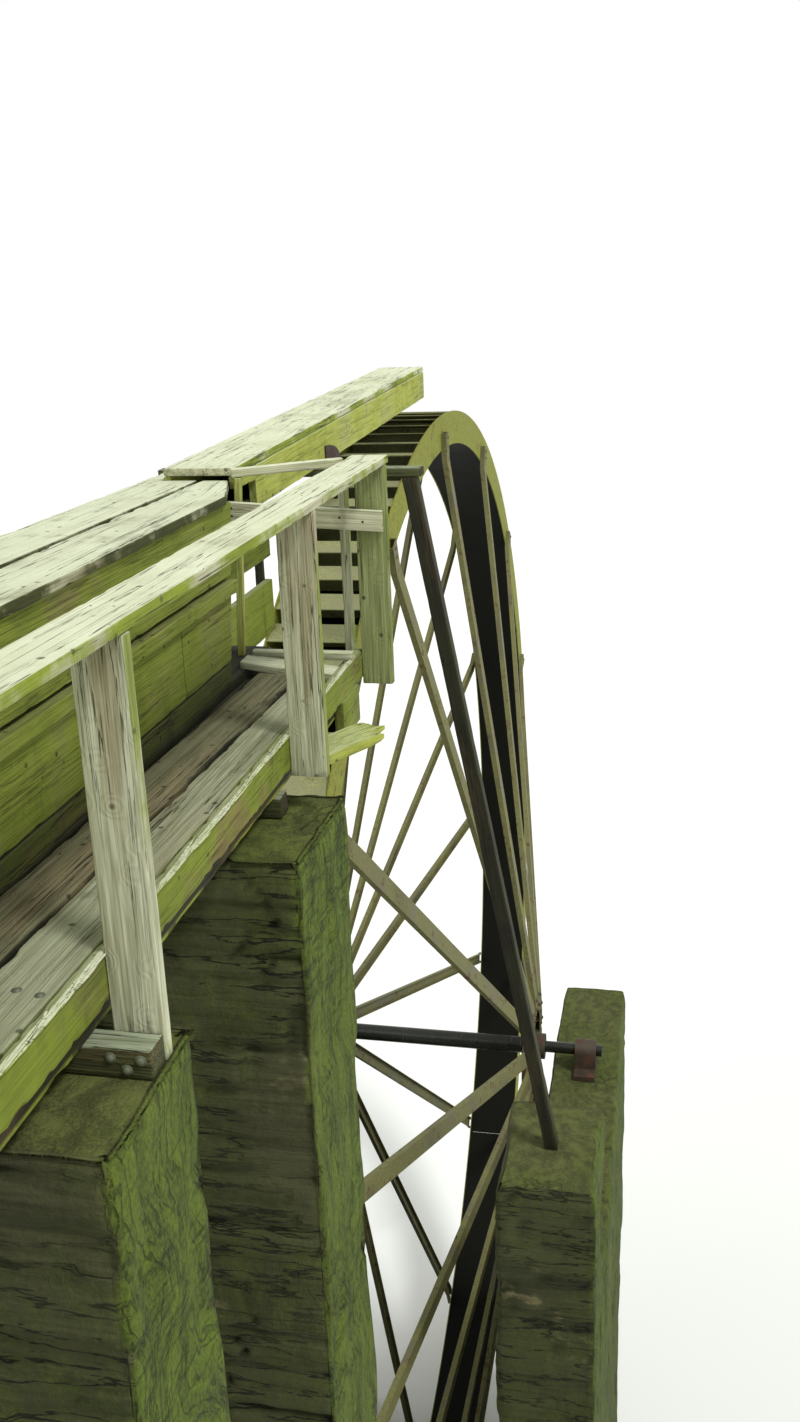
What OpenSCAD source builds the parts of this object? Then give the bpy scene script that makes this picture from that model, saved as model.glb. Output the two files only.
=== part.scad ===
// Overshot water wheel with its feed flume, plank walkway and stone piers, in millimetres.
// X runs across the flume, Y downstream and Z up. X = 0 is the wheel's middle plane,
// Z = 0 is the floor of the wheel pit and Y = 0 is the middle of the whole length.

/* [Wheel] */
// Radius over the shroud rings
wheel_r = 6100; // [5400:10:6400]
// Width over the two shroud rings
rim_w = 600; // [500:10:760]
// Radial depth of the shroud rings
shroud_depth = 285; // [240:5:340]
// Thickness of the shroud plates
shroud_t = 10; // [6:1:20]
// Plates that make up each shroud ring
shroud_plates = 16; // [8:1:24]
// Joint left between two plates of a ring
plate_joint = 3; // [1:0.5:6]
// Thickness of the sole plate behind the buckets
sole_t = 8; // [5:1:14]
// Number of buckets round the rim
bucket_count = 136; // [96:1:160]
// Thickness of the bucket plates
bucket_t = 8; // [5:1:12]
// Depth of the elbow of a bucket below the rim's edge
elbow_depth = 56; // [40:2:120]
// Share of the bucket pitch that the front plate covers
front_share = 0.7; // [0.5:0.02:0.8]
// Number of arms on each side
arm_count = 16; // [12:1:18]
// Width of an arm's web
arm_w = 127; // [100:1:150]
// Depth of an arm's flanges
arm_d = 45; // [35:1:70]
// Thickness of the arm's web and flanges
arm_t = 8; // [5:1:12]
// Turn of the first arm from straight up
arm_turn = 1.2; // [0:0.1:6]
// Distance of the hub plates from the wheel's middle plane
hub_x = 1000; // [850:10:1100]
// Thickness of the hub plates
hub_t = 40; // [25:1:60]
// Radius of the hub plates
hub_r = 560; // [500:5:650]
// Radius at which the arms begin
arm_start = 345; // [330:5:380]
// Length of the boss on each hub
boss_len = 130; // [80:5:200]
// Wall of the boss round the axle
boss_wall = 45; // [30:1:70]
// Radius of the axle tube
axle_r = 78; // [70:1:90]
// Wall of the axle tube
axle_wall = 20; // [12:1:30]
// Radius of the journals at the axle's ends
journal_r = 55; // [45:1:65]

/* [Bearings and pit walls] */
// Gap between the wheel and the pit floor
pit_gap = 245; // [150:5:400]
// Distance of the bearings from the wheel's middle plane
bearing_x = 1545; // [1480:5:1600]
// Length of a bearing along the axle
bearing_len = 200; // [150:5:240]
// Height of the axle over the bearing's seat
bearing_h = 200; // [160:5:240]
// Running clearance of a journal
running_gap = 0.05; // [0.02:0.01:0.1]
// Inner face of the pit walls from the middle plane
wall_x = 1195; // [1180:5:1230]
// Thickness of the pit walls
wall_t = 700; // [600:10:800]
// Length of the pit walls past the axle
wall_past = 1550; // [1200:10:2000]
// Length of the high footing under a trestle leg
footing_len = 1000; // [600:10:1400]
// Footing's top below the walkway
footing_drop = 3850; // [3600:10:4200]

/* [Walkway] */
// Clear width of the walkway beside the flume
walk_w = 475; // [420:5:560]
// Thickness of the deck planks
plank_t = 50; // [38:1:60]
// Width of the plank beside the flume
inner_plank_w = 207; // [190:1:240]
// Gap between the two deck planks
plank_gap = 12; // [4:1:20]
// Height of the fascia board
fascia_h = 142; // [120:1:170]
// Thickness of the fascia board
fascia_t = 45; // [38:1:50]
// Height of the stringers under the planks
stringer_h = 180; // [150:5:240]
// Thickness of a stringer
stringer_t = 50; // [40:1:60]
// Width of a rail post
post_w = 153; // [130:1:170]
// Thickness of a rail post
post_t = 48; // [38:1:60]
// Spacing of the rail posts along the flume
post_pitch = 1795; // [1600:5:1900]
// Length of the short bay at the wheel's end
last_bay = 1280; // [1100:5:1400]
// Deck past the last post upstream
deck_tail = 500; // [480:2:700]
// Height of the rail's top over the deck
rail_h = 942; // [850:1:1050]
// Width of the top rail
rail_w = 180; // [150:1:200]
// Thickness of the top rail
rail_t = 39; // [35:1:50]
// How far the rail reaches in over the deck
rail_inset = 27; // [10:1:60]

/* [Flume] */
// Width over the side walls of the lower flume
flume_w = 540; // [480:5:600]
// Thickness of the lower flume's boards
flume_t = 50; // [40:1:60]
// Height of the lower flume's walls over the deck
flume_h = 802; // [700:5:860]
// Thickness of the cover planks
cover_t = 45; // [35:1:50]
// How far the cover planks reach past the walls
cover_lap = 27; // [10:1:50]
// Gap along the middle of the cover
cover_gap = 16; // [4:1:30]
// Width of the upper flume
spout_w = 369; // [320:1:400]
// Height of the upper flume
spout_h = 252; // [220:1:280]
// Thickness of the upper flume's boards
spout_t = 40; // [30:1:45]
// Height of the upper flume's underside over the deck, at the walkway's end
spout_z = 639; // [600:1:680]
// Rise of the upper flume for each metre
spout_rise = 31; // [0:1:60]
// Gap between the upper flume's mouth and the wheel's top
mouth_gap = 160; // [100:5:240]
// Distance from the upper flume's mouth to the wheel's crown
mouth_to_crown = 293; // [200:5:400]

/* [Piers and trestle] */
// Length of a stone pier across the flume
pier_w = 1850; // [1700:10:2000]
// Thickness of a stone pier along the flume
pier_t = 650; // [550:10:800]
// Added thickness of the pier beside the wheel
head_pier_extra = 100; // [0:10:160]
// Gap between the wheel and the pier beside it
pier_gap = 83; // [60:1:200]
// Width of the cross timbers on the piers
bearer_w = 95; // [80:1:120]
// Height of the cross timbers on the piers
bearer_h = 90; // [80:1:120]
// Side of a trestle leg
leg_w = 88; // [75:1:110]
// Height of the trestle's cross beam
beam_h = 48; // [40:1:70]
// Width of the trestle's cross beam
beam_w = 95; // [80:1:120]
// Half the length of the cross beam
beam_half = 803; // [780:1:860]
// Lean of the trestle legs, outwards for each metre of drop
leg_lean = 183; // [140:1:200]

/* [Hidden] */
$fn = 96;
// Whole bays upstream of the short one, each with its own pier
long_bays = 3;

// Wheel
bucket_pitch = 360 / bucket_count;
sole_r = wheel_r - shroud_depth;
arm_end = sole_r + shroud_depth / 2;
arm_foot = 220;
arm_seat_x = rim_w / 2;
boss_r = axle_r + boss_wall;
hub_out = hub_x + hub_t / 2;
journal_start = hub_out + boss_len;
journal_past = 55;
axle_end = bearing_x + bearing_len / 2 + journal_past;
collar_r = axle_r + 16;
collar_len = 70;
bucket_lip = 6;
bucket_rake = 0.1;
ring_sides = 720;
bearing_wall = 45;
bearing_foot_h = 50;
bearing_foot_half = 2.4 * (journal_r + bearing_wall);

// Places along the flume, from the walkway's end line at Y = 0
head_post_y = 531;
head_post_lap = 141;
pier_face_y = -530;
axle_from_head = wheel_r + pier_gap + pier_face_y;
mouth_y = axle_from_head - mouth_to_crown;
tail_y = post_y(long_bays + 1) - deck_tail;
deck_end_y = head_post_y + post_t;
deck_joint_y = post_y(long_bays) + post_t / 2;
half_joint = 1;
stringer_end = 675;
deck_bend_y = post_y(2) + post_t / 2;
inner_plank_end = [125, 86];
inner_plank_drift = [75, 70];
outer_plank_end = -30;
cross_board_lap = 28;
cross_board_short = 2;
sloping_board_y = [155, 290];
level_board_y = [345, 395];
stop_y = [130, 450];
rail_end_lap = 89;
head_y = -(axle_from_head + wheel_r + tail_y) / 2;
trestle_y = 1968;
wall_from_trestle = footing_len / 2;

// Levels over the pit floor
axle_z = pit_gap + wheel_r;
deck_z = round(axle_z + wheel_r + mouth_gap - spout_low(mouth_y));
bearing_seat_z = axle_z - bearing_h;
footing_z = deck_z - footing_drop;

// Places across the flume
deck_edge_x = flume_w / 2 + walk_w;
post_x = [deck_edge_x, deck_edge_x + post_w];
fascia_x = [deck_edge_x - fascia_t, deck_edge_x];
wall_in_x = flume_w / 2 - flume_t;
sill_w = 100;
sill_x = [wall_in_x, wall_in_x + sill_w];
outer_stringer_x = [fascia_x[0] - stringer_t, fascia_x[0]];
plank_joint_x = flume_w / 2 + inner_plank_w + plank_gap / 2;
middle_stringer_x = [plank_joint_x - stringer_t / 2, plank_joint_x + stringer_t / 2];
spout_x = [-spout_w / 2, spout_w / 2];
pier_x = [-pier_w / 2, pier_w / 2];
outrigger_len = 150;
bearer_x = [-deck_edge_x - outrigger_len, deck_edge_x + outrigger_len];
head_bearer_end = deck_edge_x - 20;

// Posts and rails that close the walkway's end
end_post_x = [650, 684];
end_post_span = [585, 675];
end_rail_t = 40;
end_rail_h = 100;
end_rail_left_z = 662;
end_rail_right_z = 593;
end_rail_in = 16;
end_rail_lap = 68;
end_rail_from = [229, 400];
end_rail_to = [post_x[1] - end_rail_in, head_post_y];
end_turn = atan2(end_rail_to[1] - end_rail_from[1], end_rail_to[0] - end_rail_from[0]);
corner_foot_x = [156, 190];
corner_head_x = [199, 234];
corner_t = 50;
cap_rail_w = 60;
cap_rail_in = [10, 14];
cap_rail_lap = [10, 36];

// Heights over the deck
stringer_z = [-plank_t - stringer_h, -plank_t];
bearer_z = [stringer_z[0] - bearer_h, stringer_z[0]];
post_top_z = rail_h - rail_t;
end_post_top_z = post_top_z - 18;
corner_top_z = post_top_z - 37;
cover_z = [flume_h, flume_h + cover_t];
cross_board_t = 40;
stop_low_z = -330;
hung_post_foot = -170;

// Broken board under the outer stringer: its near end, its tip and how far it splits
broken_from = [695, -300];
broken_to = [945, 130];
broken_w = 180;
broken_t = 45;
// Its outline as shares of its length and width
torn_outline = [
    [0, -0.5], [0.62, -0.5], [0.7, -0.36], [0.8, -0.3], [0.84, -0.12], [1, 0.02],
    [0.9, 0.16], [0.93, 0.28], [0.78, 0.4], [0.7, 0.5], [0, 0.5]
];

// Boards of a lower flume wall: heights over the deck
low_board_z = [0, 90];
main_board_z = [96, 400];
batten_z = [400, 461];
high_board_z = [476, flume_h];
batten_proud = 30;
wall_joint_y = -600;
right_wall_end = -42;
right_wall_rake = 0.223;
left_wall_end = 900;
flume_floor_end = 580;
stud_side = 50;
stud_from_post = 450;
end_stud_y = -110;

// Covers: the right plank's slanting end and the left plank's notch
cover_end_y = 478;
cover_slant_y = 0;
cover_slant_x = 150;
notch_x = spout_w / 2 + 5.5;

// Upper flume: where its boards begin, its ledger and the plate on its side
spout_start = 620;
side_end = 775;
side_nose = cover_end_y + 2;
spout_cover_start = cover_end_y - 8;
ledger_d = 55;
ledger_low_z = 590;
ledger_end_x = 650;
plate_t = 8;
plate_corner = [2120, 700];
plate_size = [330, 105];

// Splash boards and the hanger that carries their far end
splash_t = 45;
splash_y = [600, 2060];
splash_low_z = [-310, 15];
splash_high_z = [155, 455];
hanger_side = [50, 44];
hanger_top_z = 690;
leg_inset = 32;

// Place of post i, counted upstream from the one at the wheel's end: its upstream face
function post_y(i) = i == 0 ? head_post_y : head_post_y - last_bay - (i - 1) * post_pitch;
// Height of the upper flume's underside at y
function spout_low(y) = spout_z + spout_rise * y / 1000;
function spout_top(y) = spout_low(y) + spout_h;

// A squared timber between the given limits of x, y and z
module timber(x, y, z) {
    translate([x[0], y[0], z[0]]) cube([x[1] - x[0], y[1] - y[0], z[1] - z[0]]);
}
// A flat piece with its outline in Y and Z, between the given limits of x
module side_profile(x, points) {
    translate([x[0], 0, 0]) rotate([90, 0, 90]) linear_extrude(x[1] - x[0]) polygon(points);
}
// A flat piece with its outline in X and Z, between the given limits of y
module end_profile(y, points) {
    translate([0, y[1], 0]) rotate([90, 0, 0]) linear_extrude(y[1] - y[0]) polygon(points);
}
module at_head() translate([0, head_y, deck_z]) children();
module at_axle() translate([0, head_y + axle_from_head, axle_z]) children();
// The given piece on the left side, or on the right
module on_side(left) {
    if (left) mirror([1, 0, 0]) children();
    else children();
}

// Wheel
module axle() color("dimgray") at_axle() rotate([0, 90, 0]) {
    difference() {
        cylinder(r = axle_r, h = 2 * journal_start, center = true);
        cylinder(r = axle_r - axle_wall, h = 2 * hub_x, center = true);
    }
    for (s = [-1, 1])
        translate([0, 0, s * (journal_start + axle_end) / 2])
            cylinder(r = journal_r, h = axle_end - journal_start, center = true);
    for (s = [0, 1]) mirror([0, 0, s]) translate([0, 0, hub_x - hub_t / 2]) mirror([0, 0, 1]) axle_collar();
}
// A clamped collar inside the hub, with a rounded edge towards the middle
module axle_collar() rotate_extrude() translate([axle_r - axle_wall, 0]) difference() {
    square([axle_wall + collar_r - axle_r, collar_len]);
    translate([axle_wall + collar_r - axle_r, collar_len]) circle(r = collar_r - axle_r, $fn = 32);
}
module hub(left) color("saddlebrown") at_axle() on_side(left) rotate([0, 90, 0]) difference() {
    union() {
        translate([0, 0, hub_x - hub_t / 2]) cylinder(r = hub_r, h = hub_t);
        translate([0, 0, hub_x - hub_t / 2]) cylinder(r = boss_r, h = hub_t + boss_len);
    }
    cylinder(r = axle_r, h = 2 * axle_end);
}
// The arm's line in X and radius: flat on the hub, slanting in, flat on the shroud
function arm_line(out) = [
    [hub_out + out, arm_start], [hub_out + out, hub_r],
    [arm_seat_x + out, arm_end - arm_foot], [arm_seat_x + out, arm_end]
];
function arm_outline(low, high) = concat(arm_line(low), [for (i = [3:-1:0]) arm_line(high)[i]]);
module arm() difference() {
    end_profile([-arm_w / 2, arm_w / 2], arm_outline(0, arm_d));
    end_profile([-arm_w / 2 + arm_t, arm_w / 2 - arm_t], arm_outline(-1, arm_d - arm_t));
}
module arms(left) color("darkolivegreen") at_axle() on_side(left)
    for (i = [0:arm_count - 1]) rotate([arm_turn - i * 360 / arm_count, 0, 0]) arm();
// One plate of a ring, centred on the top, between two radii and two limits of x
module ring_plate(inner, outer, x, angle, joint) {
    cut = joint / 2;
    reach = outer * 1.2;
    translate([x[0], 0, 0]) rotate([90, 0, 90]) linear_extrude(x[1] - x[0]) intersection() {
        difference() {
            circle(r = outer, $fn = ring_sides);
            circle(r = inner, $fn = ring_sides);
        }
        difference() {
            polygon([[0, 0], [-reach * tan(angle / 2), reach], [reach * tan(angle / 2), reach]]);
            rotate(angle / 2) translate([-cut, 0]) square([2 * cut, reach]);
            rotate(-angle / 2) translate([-cut, 0]) square([2 * cut, reach]);
        }
    }
}
module ring(inner, outer, x) {
    step = 360 / shroud_plates;
    for (i = [0:shroud_plates - 1])
        rotate([(i + 0.5) * step, 0, 0]) ring_plate(inner, outer, x, step, plate_joint);
}
module shroud(left) color("olive") at_axle() on_side(left)
    ring(sole_r, wheel_r, [rim_w / 2 - shroud_t, rim_w / 2]);
module sole_plate() color("black") at_axle()
    ring(sole_r, sole_r + sole_t, [-rim_w / 2 + shroud_t, rim_w / 2 - shroud_t]);
// Bucket outline: a front plate that slopes in from the rim to the elbow, and a bottom plate from there
// down to the sole. The lip trails behind the bottom as the crown moves downstream
function polar(r, a) = [r * sin(a), r * cos(a)];
module bucket() {
    back = bucket_t / wheel_r * 180 / PI;
    lip = wheel_r - bucket_lip;
    elbow = wheel_r - elbow_depth;
    foot = sole_r + sole_t;
    turn = bucket_pitch * front_share;
    side_profile([-rim_w / 2 + shroud_t, rim_w / 2 - shroud_t], [
        polar(lip, 0), polar(elbow, turn), polar(foot, turn + bucket_rake),
        polar(foot, turn + bucket_rake - back), polar(elbow - bucket_t, turn - back), polar(lip - bucket_t, 0)
    ]);
}
module buckets() color("darkkhaki") at_axle()
    for (i = [0:bucket_count - 1]) rotate([-i * bucket_pitch, 0, 0]) bucket();

// Bearings and pit walls
module bearing(left) color("sienna") at_axle() on_side(left) {
    cap_r = journal_r + bearing_wall;
    x = [bearing_x - bearing_len / 2, bearing_x + bearing_len / 2];
    difference() {
        union() {
            translate([x[0], 0, 0]) rotate([0, 90, 0]) cylinder(r = cap_r, h = bearing_len);
            timber(x, [-cap_r, cap_r], [-bearing_h, 0]);
            timber(x, [-bearing_foot_half, bearing_foot_half], [-bearing_h, -bearing_h + bearing_foot_h]);
        }
        rotate([0, 90, 0]) cylinder(r = journal_r + running_gap, h = axle_end * 2);
    }
}
module pit_wall(left) color("gray") on_side(left) side_profile(
    [wall_x, wall_x + wall_t],
    let (
        start = head_y + trestle_y - wall_from_trestle,
        step_y = start + footing_len,
        end = head_y + axle_from_head + wall_past
    )
    [
        [start, 0], [end, 0], [end, bearing_seat_z],
        [step_y, bearing_seat_z], [step_y, footing_z], [start, footing_z]
    ]
);

// Stone piers, counted upstream from the wheel
module stone_pier(i) color("dimgray") at_head() {
    extra = i == 1 ? head_pier_extra : 0;
    face = i == 1 ? pier_face_y : post_y(i) - head_post_lap + pier_t / 2;
    timber(pier_x, [face - pier_t - extra, face], [-deck_z, bearer_z[0]]);
}
module bearers() color("olivedrab") at_head() for (i = [1:long_bays + 1]) {
    right_end = i == 1 ? head_bearer_end : bearer_x[1];
    timber([bearer_x[0], right_end], [post_y(i) - bearer_w, post_y(i)], bearer_z);
}

// Walkway
module stringers() color("olivedrab") at_head() {
    timber(outer_stringer_x, [tail_y, stringer_end], stringer_z);
    timber(middle_stringer_x, [tail_y, deck_end_y], stringer_z);
}
module flume_sills() color("olivedrab") at_head() {
    timber(sill_x, [tail_y, deck_end_y], stringer_z);
    timber([-sill_x[1], -sill_x[0]], [tail_y, left_wall_end], stringer_z);
}
module fascia() color("yellowgreen") at_head() {
    timber(fascia_x, [tail_y, deck_joint_y - half_joint], [-fascia_h, 0]);
    timber(fascia_x, [deck_joint_y + half_joint, deck_end_y], [-fascia_h, 0]);
}
// The planks run straight as far as a butt joint, and from there drift outwards to the wheel's end
module deck_planks() color("rosybrown") at_head() {
    inner_x = [flume_w / 2, flume_w / 2 + inner_plank_w];
    outer_x = [inner_x[1] + plank_gap, fascia_x[0]];
    start = deck_bend_y + half_joint;
    timber(inner_x, [tail_y, deck_bend_y - half_joint], [-plank_t, 0]);
    timber(outer_x, [tail_y, deck_bend_y - half_joint], [-plank_t, 0]);
    translate([0, 0, -plank_t]) linear_extrude(plank_t) {
        polygon([
            [inner_x[0], start], [inner_x[1], start],
            [inner_x[1] + inner_plank_drift[1], inner_plank_end[1]],
            [inner_x[0] + inner_plank_drift[0], inner_plank_end[0]]
        ]);
        polygon([
            [outer_x[0], start], [outer_x[1], start],
            [outer_x[1], outer_plank_end], [outer_x[0] + inner_plank_drift[1], outer_plank_end]
        ]);
    }
}
// One board slopes from the flume's floor down to the outer stringer, and one lies level on the fascia
module head_cross_boards() color("tan") at_head() {
    from_x = flume_w / 2 - cross_board_lap;
    to_x = fascia_x[0] - cross_board_short;
    end_profile(sloping_board_y, [
        [from_x, 0], [flume_w / 2, 0], [outer_stringer_x[0], -plank_t], [to_x, -plank_t],
        [to_x, cross_board_t - plank_t], [from_x, cross_board_t]
    ]);
    timber([from_x, deck_edge_x], level_board_y, [0, cross_board_t]);
}
module short_board() color("yellowgreen") at_head() timber(fascia_x, stop_y, [stop_low_z, -fascia_h]);
// A broken board nailed under the outer stringer, with its torn end over the drop
module broken_board() color("yellowgreen") at_head() {
    run = broken_to - broken_from;
    translate([broken_from[0], broken_from[1], stringer_z[0] - broken_t])
        rotate(atan2(run[1], run[0])) linear_extrude(broken_t)
            polygon([for (p = torn_outline) [p[0] * norm(run), p[1] * broken_w]]);
}
module rail_posts() color("rosybrown") at_head() for (i = [0:long_bays + 1]) {
    foot = i < 2 ? hung_post_foot : bearer_z[0];
    timber(post_x, [post_y(i), post_y(i) + post_t], [foot, post_top_z]);
}
module top_rail() color("gainsboro") at_head() {
    x = [deck_edge_x - rail_inset, deck_edge_x - rail_inset + rail_w];
    timber(x, [tail_y, deck_joint_y - half_joint], [post_top_z, rail_h]);
    timber(x, [deck_joint_y + half_joint, head_post_y + rail_end_lap], [post_top_z, rail_h]);
}
module end_post() color("rosybrown") at_head() timber(end_post_x, end_post_span, [-plank_t, end_post_top_z]);
// The end rails' frame: its x runs along the lower rail, from zero at the last rail post
module along_end() translate([end_rail_to[0], end_rail_to[1], 0]) rotate(end_turn) children();
function end_along(x) = (x - end_rail_to[0]) / cos(end_turn);
function end_point(along, back) = end_rail_to
    + [along * cos(end_turn) - back * sin(end_turn), along * sin(end_turn) + back * cos(end_turn)];
module corner_post() color("rosybrown") at_head() along_end() end_profile([0, corner_t], [
    [end_along(corner_foot_x[0]), 0], [end_along(corner_foot_x[1]), 0],
    [end_along(corner_head_x[1]), corner_top_z], [end_along(corner_head_x[0]), corner_top_z]
]);
// The lower rail is nailed across the faces of the corner post and of the last rail post
module end_rail_lower() color("tan") at_head() along_end() {
    start = end_along(end_rail_from[0]) - end_rail_lap;
    end_profile([-end_rail_t, 0], [
        [start, end_rail_left_z], [0, end_rail_right_z],
        [0, end_rail_right_z + end_rail_h], [start, end_rail_left_z + end_rail_h]
    ]);
}
// The upper rail lies on the tops of the corner post and of the post beside the top rail's end
module end_rail_upper() color("gainsboro") at_head() {
    from = end_point(end_along(corner_head_x[0]), cap_rail_in[0]);
    span = [end_post_x[0], end_post_span[0] + cap_rail_in[1]] - from;
    rise = atan2(end_post_top_z - corner_top_z, norm(span));
    translate([from[0], from[1], corner_top_z]) rotate([0, -rise, atan2(span[1], span[0])])
        translate([-cap_rail_lap[0], 0, 0])
            cube([cap_rail_lap[0] + norm(span) + cap_rail_lap[1], cap_rail_w, end_rail_t]);
}

// Lower flume
module lower_flume_floor() color("olivedrab") at_head()
    timber([-flume_w / 2, flume_w / 2], [tail_y, flume_floor_end], [-plank_t, 0]);
// A board of a flume wall between two heights, its end raked downstream as it rises
module wall_board(x, from, to, rake, z) side_profile(x, [
    [from, z[0]], [to + rake * z[0], z[0]], [to + rake * z[1], z[1]], [from, z[1]]
]);
module flume_wall(end_y, rake) {
    x = [wall_in_x, flume_w / 2];
    wall_board(x, tail_y, end_y, rake, low_board_z);
    wall_board(x, tail_y, wall_joint_y - half_joint, 0, main_board_z);
    wall_board(x, wall_joint_y + half_joint, end_y, rake, main_board_z);
    wall_board([x[0], x[1] + batten_proud], tail_y, end_y, rake, batten_z);
    wall_board(x, tail_y, end_y, rake, high_board_z);
}
module lower_flume_right_wall() color("yellowgreen") at_head() flume_wall(right_wall_end, right_wall_rake);
module lower_flume_left_wall() color("yellowgreen") at_head()
    mirror([1, 0, 0]) flume_wall(left_wall_end, 0);
module lower_flume_studs() color("olivedrab") at_head() for (s = [-1, 1], i = [0:long_bays + 1]) {
    y = i == 0 ? end_stud_y : post_y(i) - stud_from_post;
    x = [wall_in_x - stud_side, wall_in_x];
    timber(s > 0 ? x : [-x[1], -x[0]], [y, y + stud_side], [0, flume_h]);
}
// The right plank's end is sawn off slanting, and the left plank is notched round the upper flume
module lower_flume_cover() color("gainsboro") at_head() {
    edge = flume_w / 2 + cover_lap;
    translate([0, 0, cover_z[0]]) linear_extrude(cover_t) {
        polygon([
            [cover_gap / 2, tail_y], [edge, tail_y], [edge, cover_slant_y],
            [edge - cover_slant_x, cover_end_y], [cover_gap / 2, cover_end_y]
        ]);
        polygon([
            [-cover_gap / 2, tail_y], [-edge, tail_y], [-edge, left_wall_end],
            [-notch_x, left_wall_end], [-notch_x, cover_end_y], [-cover_gap / 2, cover_end_y]
        ]);
    }
}

// Upper flume
module spout_board(x, from, to, low, high) side_profile(x, [
    [from, spout_low(from) + low], [to, spout_low(to) + low],
    [to, spout_low(to) + high], [from, spout_low(from) + high]
]);
module flume_ledger() color("olivedrab") at_head() side_profile([-wall_in_x, ledger_end_x], [
    [spout_start, ledger_low_z], [spout_start + ledger_d, ledger_low_z],
    [spout_start + ledger_d, spout_low(spout_start + ledger_d)], [spout_start, spout_low(spout_start)]
]);
module upper_flume_floor() color("olivedrab") at_head()
    spout_board([spout_x[0] + spout_t, spout_x[1] - spout_t], spout_start, mouth_y, 0, spout_t);
module upper_flume_sides() color("yellowgreen") at_head()
    for (x = [[spout_x[0], spout_x[0] + spout_t], [spout_x[1] - spout_t, spout_x[1]]])
        side_profile(x, [
            [side_end, spout_low(side_end)], [mouth_y, spout_low(mouth_y)],
            [mouth_y, spout_top(mouth_y) - spout_t], [side_nose, spout_top(side_nose) - spout_t],
            [side_nose, flume_h], [side_end, flume_h]
        ]);
module upper_flume_cover() color("gainsboro") at_head()
    spout_board(spout_x, spout_cover_start, mouth_y, spout_h - spout_t, spout_h);
module half_round_plate() color("brown") at_head() side_profile(
    [spout_x[1], spout_x[1] + plate_t],
    let (l = plate_size[0], h = plate_size[1])
    concat([plate_corner], [for (a = [0:10:90]) plate_corner + [l * cos(a), h * sin(a)]])
);

// Boards beside the wheel and the trestle under the upper flume
module splash_boards() color("yellowgreen") at_head() {
    x = [-wall_in_x, -wall_in_x + splash_t];
    timber(x, splash_y, splash_low_z);
    timber(x, splash_y, splash_high_z);
}
trestle_y_span = [trestle_y - beam_w / 2, trestle_y + beam_w / 2];
beam_low_z = spout_low(trestle_y_span[0]) - beam_h;
module board_hanger() color("olivedrab") at_head() timber(
    [-wall_in_x - hanger_side[0], -wall_in_x],
    [trestle_y_span[1], trestle_y_span[1] + hanger_side[1]], [splash_low_z[0], hanger_top_z]
);
module trestle_beam() color("olivedrab") at_head() side_profile([-beam_half, beam_half], [
    [trestle_y_span[0], beam_low_z], [trestle_y_span[1], beam_low_z],
    [trestle_y_span[1], spout_low(trestle_y_span[1])], [trestle_y_span[0], spout_low(trestle_y_span[0])]
]);
module trestle_legs() color("saddlebrown") at_head() for (left = [false, true]) on_side(left) {
    top_x = beam_half - leg_w - leg_inset;
    run = (beam_low_z + footing_drop) * leg_lean / 1000;
    end_profile([trestle_y - leg_w / 2, trestle_y + leg_w / 2], [
        [top_x, beam_low_z], [top_x + run, -footing_drop],
        [top_x + run + leg_w, -footing_drop], [top_x + leg_w, beam_low_z]
    ]);
}

axle();
hub(false);  // hub_right
hub(true);  // hub_left
arms(false);  // arms_right
arms(true);  // arms_left
shroud(false);  // shroud_right
shroud(true);  // shroud_left
sole_plate();
buckets();
bearing(false);  // bearing_right
bearing(true);  // bearing_left
pit_wall(false);  // pit_wall_right
pit_wall(true);  // pit_wall_left
stone_pier(1);  // stone_pier_1
stone_pier(2);  // stone_pier_2
stone_pier(3);  // stone_pier_3
stone_pier(4);  // stone_pier_4
bearers();
stringers();
flume_sills();
fascia();
deck_planks();
head_cross_boards();
short_board();
broken_board();
rail_posts();
top_rail();
end_post();
end_rail_lower();
end_rail_upper();
corner_post();
lower_flume_floor();
lower_flume_right_wall();
lower_flume_left_wall();
lower_flume_studs();
lower_flume_cover();
flume_ledger();
upper_flume_floor();
upper_flume_sides();
upper_flume_cover();
half_round_plate();
splash_boards();
board_hanger();
trestle_beam();
trestle_legs();
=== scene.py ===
# %% [markdown]
# # A tall water wheel, its flume and its stone piers
# The solids of this machine are already made and packed. This lesson dresses them: worn boards with grain,
# rubble masonry, wet steel and bolts. Every step is one cell, and each says what the real piece is first.

# %% Load the solids as the fixed frame
import math
import bpy
import numpy as np
from mathutils import Matrix, Vector


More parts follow.
